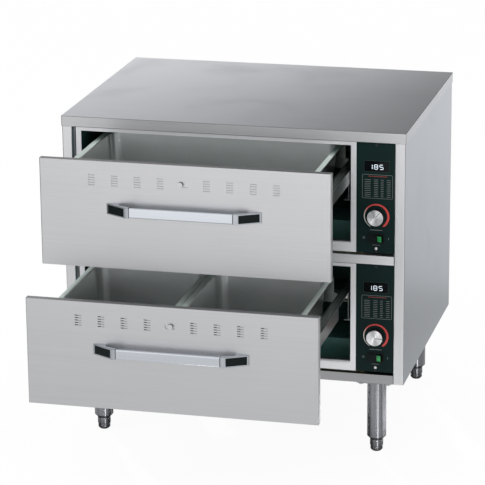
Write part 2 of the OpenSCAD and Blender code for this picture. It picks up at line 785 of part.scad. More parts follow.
// Switch housing: bezel on the panel, and a case with a well and two pivot holes
module switch_housing(b) {
    well_w = rocker_w + 2 * rocker_wall;
    well_h = rocker_h + 0.6;
    color("#181818") on_panel(b, switch_z) difference() {
        union() {
            translate([0, -fit_gap, 0]) rotate([90, 0, 0])
                linear_extrude(1.5) rounded_rect(switch_w, switch_h, 2);
            box([-switch_w / 2 + 2, -fit_gap - 0.5, -switch_h / 2 + 2],
                [switch_w / 2 - 2, switch_depth, switch_h / 2 - 2]);
        }
        box([-well_w / 2, -5, -well_h / 2], [well_w / 2, rocker_pivot + 7, well_h / 2]);
        translate([0, rocker_pivot - 2, 0])
            cylinder(h = rocker_h + 2.6, r = rocker_pin_r + 0.08, center = true);
    }
}

module upper_switch_housing() { switch_housing(UPPER); }
module lower_switch_housing() { switch_housing(LOWER); }

// Rocker: a cap with a shallow valley in its face, tilted to one side about its pin
module rocker(b) {
    half = rocker_w / 2;
    color("#202020") on_panel(b, switch_z) translate([0, rocker_pivot - 2, 0]) rotate(-rocker_tilt) {
        translate([0, 0, -rocker_h / 2]) linear_extrude(rocker_h)
            polygon([[-half, 2], [-half, -9], [0, -6.4], [half, -9], [half, 2]]);
        cylinder(h = rocker_h + 2.2, r = rocker_pin_r, center = true);
    }
}

module upper_rocker() { rocker(UPPER); }
module lower_rocker() { rocker(LOWER); }

module pilot_lamps() {
    color("white") for (b = [LOWER, UPPER]) on_panel(b, lamp_z) {
        rod_y(-lamp_rim_t - fit_gap, -fit_gap, lamp_r);
        rod_y(-fit_gap - 0.5, lamp_case_d, lamp_body_r);
        intersection() {
            translate([0, -lamp_rim_t - fit_gap, 0]) sphere(lamp_r - 0.8);
            rod_y(-lamp_r - 3, -1, lamp_r);
        }
    }
}

// ---- Supply side ----

module terminal_block() {
    wells = 3;
    z0 = leg_h + sheet_t + fit_gap;
    translate([block_x, loom_y, z0]) color("ivory") difference() {
        translate([-block_size[0] / 2, 0, 0]) cube(block_size);
        for (k = [0:wells - 1]) for (y = [0.3, 0.7])
            translate([(k - 1) * 13, y * block_size[1], 8]) cylinder(h = block_size[2], r = 3.2);
    }
}

// Bound wires: up the right wall, then forward to each switch
module wiring_loom() {
    z0 = leg_h + sheet_t + fit_gap + block_size[2] / 2;
    y0 = loom_y + block_size[1] / 2;
    turn_y = panel_y + switch_depth + 25;
    color("firebrick") {
        translate([0, y0, z0]) {
            rod_x(block_x + block_size[0] / 2 + 0.2, loom_x, loom_r);
            translate([loom_x, 0, 0]) sphere(loom_r);
        }
        translate([loom_x, y0, z0])
            cylinder(h = bay_z[UPPER] + switch_z - z0, r = loom_r);
        for (b = [LOWER, UPPER]) translate([0, 0, bay_z[b] + switch_z]) {
            translate([loom_x, y0, 0]) sphere(loom_r);
            translate([loom_x, 0, 0]) rod_y(turn_y, y0, loom_r);
            translate([loom_x, turn_y, 0]) sphere(loom_r);
            translate([0, turn_y, 0]) rod_x(controls_x, loom_x, loom_r);
            translate([controls_x, turn_y, 0]) sphere(loom_r);
            translate([controls_x, 0, 0]) rod_y(panel_y + switch_depth + 0.2, turn_y, loom_r);
        }
    }
}

// Gland that grips the supply cable in the back panel
module cable_gland() {
    thread_r = gland_bore_r + 6;
    color("#202020") translate([gland_x, back_y, leg_h + gland_z]) difference() {
        union() {
            rod_y(-14, 2, thread_r);
            translate([0, fit_gap, 0]) rotate([-90, 0, 0])
                cylinder(h = 7, r = thread_r + 4, $fn = 6);
            translate([0, -sheet_t - fit_gap - 5, 0]) rotate([-90, 0, 0])
                cylinder(h = 5, r = thread_r + 4, $fn = 6);
            rod_y(5, gland_out - 4, thread_r);
            rod_y(5, gland_out, thread_r - 2.5);
        }
        rod_y(-20, gland_out + 5, gland_bore_r);
    }
}

// ---- Legs and feet ----

// A leg: top plate, tube, and a turned plug with the foot's thread in its lower end
module leg() {
    z0 = foot_h;
    color("silver") difference() {
        union() {
            translate([0, 0, leg_h - leg_plate_t]) linear_extrude(leg_plate_t)
                rounded_rect(leg_plate_w, leg_plate_w, 4);
            rotate_extrude() polygon([
                [0, z0], [leg_r - leg_chamfer, z0], [leg_r, z0 + leg_chamfer],
                [leg_r, leg_h - leg_plate_t / 2], [0, leg_h - leg_plate_t / 2]]);
        }
        translate([0, 0, z0 + plug_h])
            cylinder(h = leg_h - leg_plate_t - z0 - plug_h, r = leg_r - leg_wall);
        translate([0, 0, z0 - 1]) cylinder(h = plug_h + 2, r = foot_stem_r + 0.1);
        for (x = [-1, 1]) for (y = [-1, 1])
            translate([x * leg_bolt_pitch / 2, y * leg_bolt_pitch / 2, leg_h - leg_plate_t - 1])
                cylinder(h = leg_plate_t + 2, r = bolt_r + 0.1);
    }
}

module legs() { for (p = leg_places) translate([p[0], p[1], 0]) leg(); }

// Levelling foot, turned in one piece with its stem
module foot(x, y) {
    edge = 4;
    top = foot_h - fit_gap;
    waist_z = foot_h * 0.42;
    color("silver") translate([x, y, 0]) rotate_extrude() polygon([
        [0, 0], [foot_r - edge - 1, 0], [foot_r - 1, edge], [foot_r - 1, waist_z - 1],
        [foot_r - 2.2, waist_z], [foot_r, waist_z + 1.5],
        [foot_r, top - 1.5], [foot_r - 1.5, top], [foot_stem_r, top],
        [foot_stem_r, top + foot_stem_l - 1], [foot_stem_r - 1, top + foot_stem_l],
        [0, top + foot_stem_l]]);
}

module front_left_foot() { foot(-leg_x, leg_ys[0]); }
module front_right_foot() { foot(leg_x, leg_ys[0]); }
module rear_left_foot() { foot(-leg_x, leg_ys[1]); }
module rear_right_foot() { foot(leg_x, leg_ys[1]); }

// A round-headed screw along +Y, its head on the outer face at y = 0
module screw(r, head_r, head_h, length, side) {
    $fn = 16;
    mirror([0, side < 0 ? 1 : 0, 0]) {
        rod_y(-length, 0.5, r);
        intersection() {
            sphere(head_r);
            rod_y(0, head_h, head_r);
        }
    }
}

module cabinet_screws() {
    color("silver") {
        back_screw_places() screw(screw_r, screw_head_r, screw_head_h, 8, 1);
        for (b = [LOWER, UPPER]) for (z = panel_screw_zs)
            on_panel(b, z) screw(small_screw_r, small_head_r, 1.2, 6, -1);
        leg_bolt_places() {
            translate([0, 0, -leg_plate_t - 1])
                cylinder(h = leg_plate_t + sheet_t + 1, r = bolt_r);
            translate([0, 0, -leg_plate_t - 4]) cylinder(h = 4, r = bolt_r * 1.7, $fn = 6);
        }
    }
}

// ---- Drawer ----

module vent_places(dz) {
    for (x = vent_xs) for (z = dz) translate([x, 0, vent_z + z]) children();
}

// Outer skin of a drawer front, folded to a tray, with guides for the damper inside
module drawer_front(b) {
    half = front_w / 2;
    z0 = front_rise;
    z1 = front_rise + front_h;
    guide_z = damper_h / 2 + fit_gap;
    color("gainsboro") in_drawer(b) difference() {
        union() {
            difference() {
                translate([0, 0, z0]) linear_extrude(front_h) difference() {
                    union() {
                        translate([-half + bend_r, 0]) square([front_w - 2 * bend_r, front_t]);
                        translate([-half, bend_r]) square([front_w, front_t - bend_r]);
                        for (x = [-1, 1]) translate([x * (half - bend_r), bend_r]) circle(bend_r);
                    }
                }
                box([-half + sheet_t, sheet_t, z0 + sheet_t],
                    [half - sheet_t, front_t + 1, z1 - sheet_t]);
            }
            for (s = [-1, 1]) translate([0, 0, vent_z]) mirror([0, 0, s < 0 ? 1 : 0]) {
                box([-damper_half_w, sheet_t - 0.5, guide_z],
                    [damper_half_w, guide_y + 1, guide_z + guide_t]);
                box([-damper_half_w, guide_y, guide_z - guide_reach],
                    [damper_half_w, guide_y + 1, guide_z + guide_t]);
            }
        }
        vent_places(vent_zs) cube([vent_slot_w, 3 * sheet_t, vent_slot_h], center = true);
        translate([0, -1, vent_z]) rotate([-90, 0, 0]) linear_extrude(sheet_t + 2)
            rounded_rect(damper_slot_w, damper_slot_h, damper_slot_h / 2 - 0.01);
        both_sides() translate([handle_w / 2 - handle_foot_w / 2, 0, handle_z])
            rod_y(-1, sheet_t + 1, 2.65);
    }
}

module upper_drawer_front() { drawer_front(UPPER); }
module lower_drawer_front() { drawer_front(LOWER); }

// Inner skin that closes the tray, with windows behind the vents
module inner_front(b) {
    gap = sheet_t + fit_gap;
    x = front_w / 2 - gap;
    z0 = front_rise + gap;
    z1 = front_rise + front_h - gap;
    color("lightgray") in_drawer(b) difference() {
        box([-x, front_t - 7, z0], [x, front_t, z1]);
        box([-x + sheet_t, front_t - 8, z0 + sheet_t], [x - sheet_t, front_t - sheet_t, z1 - sheet_t]);
        vent_places([0]) cube([vent_slot_w + 6, 3 * front_t, damper_h - 10], center = true);
    }
}

module upper_inner_front() { inner_front(UPPER); }
module lower_inner_front() { inner_front(LOWER); }

// Sliding plate behind the vents, with its stud and knob
module damper(b) {
    shift = damper_at[b] - damper_travel / 2;
    color("lightgray") in_drawer(b) translate([shift, 0, 0]) {
        difference() {
            box([-damper_half_w, damper_y, vent_z - damper_h / 2],
                [damper_half_w, damper_y + damper_t, vent_z + damper_h / 2]);
            vent_places(vent_zs) translate([damper_shift, 0, 0])
                cube([vent_slot_w, 20, vent_slot_h + 0.4], center = true);
        }
        translate([0, 0, vent_z]) {
            rod_y(-damper_knob_h + 1, damper_y + 0.5, damper_stud_r);
            rod_y(-damper_knob_h, -fit_gap, damper_knob_r);
        }
    }
}

module upper_damper() { damper(UPPER); }
module lower_damper() { damper(LOWER); }

// Right half of a drawer's frame: rail with hanging webs, and the rear roller's axle
module side_rail() {
    x0 = frame_half_w - rail_w;
    z1 = frame_z;
    difference() {
        box([x0, rail_start, z1 - frame_t], [frame_half_w, rail_l, z1]);
        box([x0 - 1, frame_open_l + frame_rear_w, z1 - frame_t - 1], [hanger_x, rail_l + 1, z1 + 1]);
        for (x = [x0 + 6.5, x0 + 12.5]) box([x, rail_start - 1, z1 - 0.5], [x + 2, rail_l + 1, z1 + 1]);
    }
    box([hanger_x, rail_start, z1 - web_h], [inner_web_x, rail_l, z1 - 0.7]);
    box([outer_web_x, rail_start, z1 - web_h], [frame_half_w, rail_start + outer_web_l, z1]);
    translate([0, rear_roller_y, rear_roller_z]) {
        rod_x(inner_web_x - 0.5, roller_x1 + 0.1, axle_r);
        rod_x(inner_web_x - 0.5, roller_x0 - run_gap, axle_r + 1.5);
    }
}

// A cross member that stands on the frame and carries the pans' rims on its ledge
module pan_ledge(wall_y, ledge_y0, ledge_y1) {
    difference() {
        union() {
            box([-ledge_half_w, wall_y, frame_z - 1], [ledge_half_w, wall_y + frame_t, ledge_z]);
            box([-ledge_half_w, ledge_y0, ledge_z - frame_t], [ledge_half_w, ledge_y1, ledge_z]);
        }
        box([-notch_w, ledge_y0 - 1, ledge_z - frame_t - 0.1], [notch_w, ledge_y1 + 1, ledge_z + 1]);
    }
}

module drawer_frame(b) {
    hole_w = frame_w - 2 * rail_w;
    hole_d = frame_open_l - frame_open_y0;
    rear_y = frame_open_l + frame_rear_w;
    color("lightgray") in_drawer(b) {
        both_sides() side_rail();
        difference() {
            box([-frame_half_w + rail_w - 0.5, rail_start, frame_z - frame_t],
                [frame_half_w - rail_w + 0.5, rear_y, frame_z]);
            translate([0, frame_open_y0 + hole_d / 2, frame_z - frame_t - 1])
                linear_extrude(frame_t + 2) rounded_rect(hole_w, hole_d, frame_corner_r);
        }
        box([-hanger_x, rail_start, frame_z - web_h], [hanger_x, rail_start + frame_t, frame_z]);
        box([-hanger_x, rear_y - frame_t, frame_z - web_h], [hanger_x, rear_y, frame_z]);
        pan_ledge(rail_start, rail_start, pan_y + pan_rim_w - 1.5);
        pan_ledge(frame_open_l, pan_y + pan_d - pan_rim_w + 1.5, frame_open_l + frame_t);
    }
}

module upper_drawer_frame() { drawer_frame(UPPER); }
module lower_drawer_frame() { drawer_frame(LOWER); }

// One handle end: foot, slope with a recess for the inlay, flat nose, and its stud and nut
slope_angle = atan2(handle_out - 1.5, handle_slope_w);
slope_l = sqrt(pow(handle_out - 1.5, 2) + pow(handle_slope_w, 2));
nose_x = handle_w / 2 - handle_slope_w;
bar_half_w = nose_x - handle_nose_w;
inlay_w = slope_l - 2 * inlay_end;
inlay_h = handle_h - 2 * inlay_edge;

// Place on the middle of the slope, x along it and -y out of it
module on_slope() {
    translate([handle_w / 2 - handle_slope_w / 2, -(handle_out + 1.5) / 2, handle_z])
        rotate(slope_angle) children();
}

module handle_end() {
    foot_x = handle_w / 2 - handle_foot_w;
    stud_x = handle_w / 2 - handle_foot_w / 2;
    difference() {
        translate([0, 0, handle_z - handle_h / 2]) linear_extrude(handle_h) polygon([
            [handle_w / 2, -fit_gap], [handle_w / 2, -1.5], [nose_x, -handle_out],
            [bar_half_w, -handle_out], [bar_half_w, -handle_out + handle_bar_t + 1],
            [nose_x - 3, -handle_out + handle_bar_t + 2], [foot_x, -9], [foot_x, -fit_gap]]);
        on_slope() box([-inlay_w / 2 - 0.1, -1, -inlay_h / 2 - 0.1],
            [inlay_w / 2 + 0.1, inlay_t - 0.2, inlay_h / 2 + 0.1]);
    }
    translate([stud_x, 0, handle_z]) {
        rod_y(-2, sheet_t + 6, 2.5);
        translate([0, sheet_t + 0.2, 0]) rotate([-90, 0, 0]) cylinder(h = 4, r = 4.6, $fn = 6);
    }
}

module handle_ends(b) { color("silver") in_drawer(b) both_sides() handle_end(); }
module upper_handle_ends() { handle_ends(UPPER); }
module lower_handle_ends() { handle_ends(LOWER); }

module handle_inlays(b) {
    color("#181818") in_drawer(b) both_sides() on_slope()
        box([-inlay_w / 2, -0.3, -inlay_h / 2], [inlay_w / 2, inlay_t - 0.3, inlay_h / 2]);
}

module upper_handle_inlays() { handle_inlays(UPPER); }
module lower_handle_inlays() { handle_inlays(LOWER); }

module handle_bar(b) {
    r = 2;
    color("silver") in_drawer(b)
        translate([-bar_half_w + 0.1, -handle_out + handle_bar_t / 2, handle_z]) rotate([90, 0, 90])
            linear_extrude(2 * bar_half_w - 0.2) rounded_rect(handle_bar_t, handle_bar_h, r);
}

module upper_handle_bar() { handle_bar(UPPER); }
module lower_handle_bar() { handle_bar(LOWER); }

// Two wheels of one axle line, with a shallow hub recess on each face
module rollers(y, z, r) {
    translate([0, y, z]) both_sides() difference() {
        rod_x(roller_x0, roller_x1, r);
        rod_x(roller_x0 - 1, roller_x1 + 1, axle_r + 0.05);
        rod_x(roller_x1 - 0.8, roller_x1 + 1, r - 2);
    }
}

module front_rollers(b) {
    color("white") in_bay(b) rollers(front_roller_y, front_roller_z, front_roller_r);
}

module rear_rollers(b) {
    color("white") in_drawer(b) rollers(rear_roller_y, rear_roller_z, rear_roller_r);
}

module upper_front_rollers() { front_rollers(UPPER); }
module lower_front_rollers() { front_rollers(LOWER); }
module upper_rear_rollers() { rear_rollers(UPPER); }
module lower_rear_rollers() { rear_rollers(LOWER); }

// ---- Pans ----

// A tapering tub: the hull of its mouth and its floor
module tub(w, d, h, r, taper) {
    hull() {
        translate([0, 0, -0.1]) linear_extrude(0.1) rounded_rect(w, d, r, $fn = 32);
        translate([0, 0, -h]) linear_extrude(0.1)
            rounded_rect(w - 2 * taper, d - 2 * taper, r - taper / 2, $fn = 32);
    }
}

// A steel pan with a flat rim, its rim's top at z = 0
module pan(w, d) {
    body_w = w - 2 * pan_rim_w;
    body_d = d - 2 * pan_rim_w;
    difference() {
        union() {
            translate([0, 0, -pan_rim_t]) linear_extrude(pan_rim_t) rounded_rect(w, d, pan_corner_r);
            translate([0, 0, -pan_rim_t]) tub(body_w, body_d, pan_h - pan_rim_t, pan_corner_r, pan_taper);
        }
        translate([0, 0, 0.2]) tub(body_w - 2 * pan_wall, body_d - 2 * pan_wall,
            pan_h - pan_wall + 0.2, pan_corner_r - pan_wall, pan_taper);
    }
}

module full_pan() {
    color("gainsboro") in_drawer(UPPER) translate([0, pan_y + pan_d / 2, pan_z]) pan(pan_w, pan_d);
}

module half_pan(side) {
    w = (pan_w - pan_gap) / 2;
    color("gainsboro") in_drawer(LOWER)
        translate([side * (w + pan_gap) / 2, pan_y + pan_d / 2, pan_z]) pan(w, pan_d);
}

module left_half_pan() { half_pan(-1); }
module right_half_pan() { half_pan(1); }

// Channel that lies in the ledges' notches and carries the half pans' inner rims
module pan_adapter_bar() {
    y0 = rail_start + 0.2;
    y1 = frame_open_l + frame_t - 0.2;
    half = adapter_w / 2;
    color("silver") in_drawer(LOWER) {
        box([-half, y0, ledge_z - frame_t], [half, y1, ledge_z]);
        both_sides() box([half - 1.2, pan_y + pan_rim_w + 1, ledge_z - 10],
            [half, pan_y + pan_d - pan_rim_w - 1, ledge_z - 0.5]);
    }
}

top_cover();
left_side_panel();
right_side_panel();
back_panel();
base_pan();
mid_rail();
upper_liner();
lower_liner();
upper_insulation();
lower_insulation();
upper_fixed_slides();
lower_fixed_slides();
upper_heating_element();
lower_heating_element();
upper_heat_baffle();
lower_heat_baffle();
upper_control_panel();
lower_control_panel();
upper_display();
lower_display();
upper_thermostat();
lower_thermostat();
upper_switch_housing();
lower_switch_housing();
pilot_lamps();
terminal_block();
wiring_loom();
cable_gland();
legs();
cabinet_screws();
upper_drawer_front();
upper_inner_front();
upper_drawer_frame();
upper_handle_bar();
upper_handle_ends();
upper_handle_inlays();
full_pan();
upper_damper();
upper_front_rollers();
upper_rear_rollers();
lower_drawer_front();
lower_inner_front();
lower_drawer_frame();
lower_handle_bar();
lower_handle_ends();
lower_handle_inlays();
left_half_pan();
right_half_pan();
pan_adapter_bar();
lower_damper();
lower_front_rollers();
lower_rear_rollers();
upper_thermostat_knob();
lower_thermostat_knob();
upper_rocker();
lower_rocker();
front_left_foot();
front_right_foot();
rear_left_foot();
rear_right_foot();
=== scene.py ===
# %% [markdown]
# # A warming cabinet with two drawers
# The solids of this cabinet come from a CAD model, and they already have the right places and
# sizes. Blender adds what a solid can't say: how brushed steel catches the light, how a folded edge
# shines, the printing on the controls, the rounded corners of the pans and the small fasteners.
# Each step below first says what the piece is on the real object, then how it is made and why so.

# %% Load the solids
import json
import math

import bmesh
import bpy
from mathutils import Matrix, Vector


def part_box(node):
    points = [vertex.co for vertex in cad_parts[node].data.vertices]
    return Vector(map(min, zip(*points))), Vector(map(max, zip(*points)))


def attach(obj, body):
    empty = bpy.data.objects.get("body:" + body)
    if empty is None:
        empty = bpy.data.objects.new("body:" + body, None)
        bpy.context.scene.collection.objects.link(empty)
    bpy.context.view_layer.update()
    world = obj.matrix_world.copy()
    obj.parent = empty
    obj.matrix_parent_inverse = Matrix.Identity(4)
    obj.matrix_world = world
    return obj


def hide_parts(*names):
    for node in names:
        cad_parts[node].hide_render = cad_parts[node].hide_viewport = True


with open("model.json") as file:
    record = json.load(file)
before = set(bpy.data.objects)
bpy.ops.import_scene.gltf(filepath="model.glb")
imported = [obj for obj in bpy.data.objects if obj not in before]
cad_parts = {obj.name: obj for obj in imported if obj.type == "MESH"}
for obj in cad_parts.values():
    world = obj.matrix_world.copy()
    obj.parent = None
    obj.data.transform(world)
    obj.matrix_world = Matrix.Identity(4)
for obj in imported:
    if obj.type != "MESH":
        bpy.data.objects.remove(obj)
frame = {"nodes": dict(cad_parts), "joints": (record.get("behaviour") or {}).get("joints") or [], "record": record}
SOLIDS = frame["nodes"]
RECORD = frame["record"]
BODY_OF = {n: body for body, names in RECORD["behaviour"]["bodies"].items() for n in names}
SLOT_OF = {s["node"]: s["material_slot"] for s in RECORD["subparts"]}
JOINT = {j["name"]: j for j in frame["joints"]}
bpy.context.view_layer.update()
MM = 0.001
BAYS = ("upper", "lower")
CORNERS = ("front_left", "front_right", "rear_left", "rear_right")


def mm(*sizes):
    return Vector(sizes) * MM


def joint_at(name):
    return Vector(JOINT[name]["pos_m"])


def new_object(name, data):
    obj = bpy.data.objects.new(name, data)
    bpy.context.scene.collection.objects.link(obj)
    return obj


# %% [markdown]
# ## Camera
# The picture is taken from far away with a long lens, a little from the right and from above.
# The place and the angles are written as numbers, because they were found by fitting the cabinet's
# corners. The matrix is put together from the three directions of the view.

# %% Camera
CAMERA_PLACE = Vector((1.3489, -5.5468, 2.1007))
CAMERA_YAW, CAMERA_PITCH, CAMERA_ROLL = (math.radians(a) for a in (-14.15, 16.785, -0.508))
CAMERA_LENS = 196.83


def make_camera():
    forward = Vector((math.sin(CAMERA_YAW) * math.cos(CAMERA_PITCH),
                      math.cos(CAMERA_YAW) * math.cos(CAMERA_PITCH),
                      -math.sin(CAMERA_PITCH)))
    level_right = Vector((math.cos(CAMERA_YAW), -math.sin(CAMERA_YAW), 0))
    level_up = level_right.cross(forward)
    cos_roll, sin_roll = math.cos(CAMERA_ROLL), math.sin(CAMERA_ROLL)
    right = level_right * cos_roll + level_up * sin_roll
    up = level_up * cos_roll - level_right * sin_roll
    data = bpy.data.cameras.new("camera")
    data.lens = CAMERA_LENS
    data.sensor_width = 36
    camera = new_object("camera", data)
    camera.matrix_world = (Matrix.Translation(CAMERA_PLACE)
                           @ Matrix((right, up, -forward)).transposed().to_4x4())
    bpy.context.scene.camera = camera
    return camera


camera = make_camera()
print("camera at", tuple(camera.location), "lens", CAMERA_LENS)

# %% [markdown]
# ## Shader groups
# Brushed steel, moulded plastic and enamel share a few effects: long fine scratches from the belt
# that brushed the sheet, marks that hands leave, and a mask of the edges. On plastic and enamel the
# edges are worn paler; on the steels the mask carries a painted highlight or a painted dark line.
# Each effect is one group, built once, and every material places it with its own values.

# %% Helpers for node trees
FLOAT, VECTOR, WHOLE, GEOMETRY, OBJECT, MATERIAL = (
    "NodeSocket" + kind for kind in ("Float", "Vector", "Int", "Geometry", "Object", "Material"))


def new_tree(name, kind, inputs, outputs):
    tree = bpy.data.node_groups.new(name, kind)
    for label, socket, value in inputs:
        made = tree.interface.new_socket(label, in_out="INPUT", socket_type=socket)
        if value is not None:
            made.default_value = value
    for label, socket in outputs:
        tree.interface.new_socket(label, in_out="OUTPUT", socket_type=socket)
    return tree, tree.nodes.new("NodeGroupInput").outputs, tree.nodes.new("NodeGroupOutput")


def tell(tree):
    print(tree.name, "has", len(tree.nodes), "nodes")
    return tree


# %% Add a node
def add(tree, kind, settings=None, **values):
    """Add a node; settings are its properties, values its inputs by name (or _0, _1 by place)."""
    node = tree.nodes.new(kind)
    for key, value in (settings or {}).items():
        setattr(node, key, value)
    for key, value in values.items():
        socket = node.inputs[int(key[1:])] if key[0] == "_" else node.inputs[key.replace("_", " ")]
        if isinstance(value, bpy.types.NodeSocket):
            tree.links.new(value, socket)
        else:
            socket.default_value = value
    return node


# %% Nodes that are used often
def maths(tree, operation, *values, kind="ShaderNodeMath"):
    """Combine numbers or sockets; the result is a socket."""
    node = add(tree, kind, {"operation": operation}, **{f"_{k}": v for k, v in enumerate(values)})
    return node.outputs["Value" if operation in ("DOT_PRODUCT", "LENGTH") else 0]


def vectors(tree, operation, *values):
    return maths(tree, operation, *values, kind="ShaderNodeVectorMath")


def spread(tree, value, low, high, first=0.0, last=1.0, smooth=False):
    """Turn first to last into low to high, and hold the result between them."""
    settings = {"interpolation_type": "SMOOTHSTEP"} if smooth else {}
    return add(tree, "ShaderNodeMapRange", settings, Value=value, From_Min=first, From_Max=last,
               To_Min=low, To_Max=high).outputs[0]


def object_place(tree):
    return add(tree, "ShaderNodeTexCoord").outputs["Object"]


def noise(tree, place, scale, detail, **more):
    return add(tree, "ShaderNodeTexNoise", Vector=place, Scale=scale, Detail=detail,
               **more).outputs[0]


def give(tree, end, **results):
    for label, socket in results.items():
        tree.links.new(socket, end.inputs[label])
    return tree


# %% Group: brushed grain
def make_grain_group():
    tree, given, end = new_tree(
        "brushed_grain", "ShaderNodeTree",
        [("Stretch", VECTOR, (6, 900, 900)), ("Streaks", VECTOR, (1.5, 160, 160))],
        [("Tone", FLOAT), ("Height", FLOAT)])
    place = object_place(tree)
    fine = noise(tree, vectors(tree, "MULTIPLY", place, given["Stretch"]), 1.0, 3.0)
    wide = noise(tree, vectors(tree, "MULTIPLY", place, given["Streaks"]), 1.0, 2.0)
    tone = maths(tree, "MULTIPLY_ADD", wide, 0.4, maths(tree, "MULTIPLY", fine, 0.6))
    return give(tree, end, Tone=tone, Height=fine)


GRAIN = tell(make_grain_group())


# %% Group: handling marks
def make_marks_group():
    tree, given, end = new_tree(
        "handling_marks", "ShaderNodeTree",
        [("Scale", FLOAT, 9.0), ("Low", FLOAT, 0.48), ("High", FLOAT, 0.72)], [("Mask", FLOAT)])
    cloud = noise(tree, object_place(tree), given["Scale"], 5.0, Roughness=0.62, Distortion=0.6)
    return give(tree, end, Mask=spread(tree, cloud, 0, 1, given["Low"], given["High"], smooth=True))


MARKS = tell(make_marks_group())


# %% Group: rubbed edges
def make_edge_group():
    tree, given, end = new_tree(
        "edge_wear_and_edge_light", "ShaderNodeTree",
        [("Width", FLOAT, 0.0008), ("Breakup", FLOAT, 240.0)], [("Mask", FLOAT)])
    # The mask finds rounded edges; the enamels turn it into wear, the steels into painted light or painted shade
    # along the edges.
    rounded = add(tree, "ShaderNodeBevel", {"samples": 4}, Radius=given["Width"]).outputs[0]
    flat = add(tree, "ShaderNodeNewGeometry").outputs["Normal"]
    bend = spread(tree, vectors(tree, "DOT_PRODUCT", rounded, flat), 0, 1, 0.995, 0.86)
    cloud = noise(tree, object_place(tree), given["Breakup"], 2.0)
    return give(tree, end, Mask=maths(tree, "MULTIPLY", bend, spread(tree, cloud, 0, 1, 0.3, 0.62)))


EDGES = tell(make_edge_group())


# %% Group: fine moulded or sprayed surface
def make_speckle_group():
    tree, given, end = new_tree("sprayed_surface", "ShaderNodeTree", [("Scale", FLOAT, 1600.0)],
                                [("Tone", FLOAT), ("Height", FLOAT)])
    place = object_place(tree)
    dots = noise(tree, place, given["Scale"], 2.0)
    tone = maths(tree, "MULTIPLY", dots, noise(tree, place, 30.0, 3.0))
    return give(tree, end, Tone=tone, Height=dots)


SPECKLE = tell(make_speckle_group())

# %% [markdown]
# ## Materials
# Sheet steel is a metal, so its colour is the colour of its reflections. What makes it look brushed
# is that its tone and its roughness change in long thin streaks along one direction.
# One function makes every steel here: only the direction of the grain, the tones and the roughness
# differ. The direction is chosen for each panel, as the sheet was brushed before it was cut.

# %% Helpers for materials
def start_material(name, **values):
    material = bpy.data.materials.new(name)
    material.use_nodes = True
    shader = material.node_tree.nodes["Principled BSDF"]
    for key, value in values.items():
        shader.inputs[key.replace("_", " ")].default_value = value
    return material, material.node_tree, shader


def place_group(tree, group, **values):
    node = tree.nodes.new("ShaderNodeGroup")
    node.node_tree = group
    for key, value in values.items():
        node.inputs[key].default_value = value
    return node.outputs


def mix_colours(tree, factor, low, high):
    node = add(tree, "ShaderNodeMix", {"data_type": "RGBA"}, _0=factor)
    for place, value in ((6, low), (7, high)):
        if isinstance(value, bpy.types.NodeSocket):
            tree.links.new(value, node.inputs[place])
        else:
            node.inputs[place].default_value = (*value, 1)
    return node.outputs[2]


def wire(tree, shader, colour, roughness):
    tree.links.new(colour, shader.inputs["Base Color"])
    tree.links.new(roughness, shader.inputs["Roughness"])


def bump(tree, shader, height, distance):
    node = add(tree, "ShaderNodeBump", Height=height, Distance=distance, Strength=1.0)
    tree.links.new(node.outputs[0], shader.inputs["Normal"])


def tinted(level, tint):
    return tuple(level * share for share in tint)


# %% Steel
GRAIN_ALONG = {
    "x": ((5, 1100, 1100), (1.6, 260, 260)),
    "y": ((1100, 5, 1100), (260, 1.6, 260)),
    "z": ((1100, 1100, 5), (260, 260, 1.6)),
    "none": ((260, 260, 260), (40, 40, 40)),
}
PLAIN, COOL, COOLER = (0.995, 1, 1.025), (0.98, 1, 1.06), (0.95, 1, 1.07)
GREENISH, PALE_GREEN = (0.93, 1.03, 0.98), (0.97, 1.01, 1.0)


def steel(name, along, dark, light, roughness, tint=PLAIN, depth=0.00002, wear_and_edge_light=0.12, marks=0.05,
          painted_edge_tone=0.9, upright_shine=0.0):
    material, tree, shader = start_material(name, Metallic=1.0, Anisotropic=upright_shine)
    if upright_shine:
        up = add(tree, "ShaderNodeCombineXYZ", Z=1.0)
        tree.links.new(up.outputs[0], shader.inputs["Tangent"])
    fine, wide = GRAIN_ALONG[along]
    grain = place_group(tree, GRAIN, Stretch=fine, Streaks=wide)
    hands = place_group(tree, MARKS, Scale=7.0)
    edge = place_group(tree, EDGES, Width=0.0009)
    tone = mix_colours(tree, grain["Tone"], tinted(dark, tint), tinted(light, tint))
    # Along the edges the colour moves towards the edge tone. A light tone is partly rubbed wear and partly a
    # painted highlight; a dark tone is a painted dark line where the edge mirrors shade.
    colour = mix_colours(tree, spread(tree, edge["Mask"], 0, wear_and_edge_light), tone, tinted(painted_edge_tone, tint))
    rough = spread(tree, grain["Tone"], roughness - 0.05, roughness + 0.05)
    smudge = spread(tree, hands["Mask"], 0, marks)
    wire(tree, shader, colour, maths(tree, "ADD", rough, smudge))
    bump(tree, shader, grain["Height"], depth)
    return material


# %% The steels of this cabinet
COVER_STEEL = steel("brushed_steel_cover", "x", 0.5, 0.64, 0.34, COOL, wear_and_edge_light=0.5, painted_edge_tone=0.3)
SIDE_STEEL = steel("brushed_steel_side", "z", 0.48, 0.62, 0.36, COOLER)
BACK_STEEL = steel("mill_finish_back", "z", 0.42, 0.58, 0.42, COOL)
FRONT_STEEL = steel("brushed_steel_drawer_front", "x", 0.58, 0.69, 0.38, wear_and_edge_light=0.5, painted_edge_tone=0.22)
# Painted shade: a dark copy of the fronts' steel for the top flange of each drawer front and the insides of its
# vents.
SHADED_FLANGE_STEEL = steel("flange_steel_painted_shade", "x", 0.2, 0.3, 0.4, wear_and_edge_light=0.1)
# Painted light: the mid rail gets a far lighter steel than the other panels, which makes up for the shade of the
# upper drawer above it.
LIT_MID_RAIL_STEEL = steel("mid_rail_steel_painted_light", "x", 0.84, 0.95, 0.42, wear_and_edge_light=0.15)
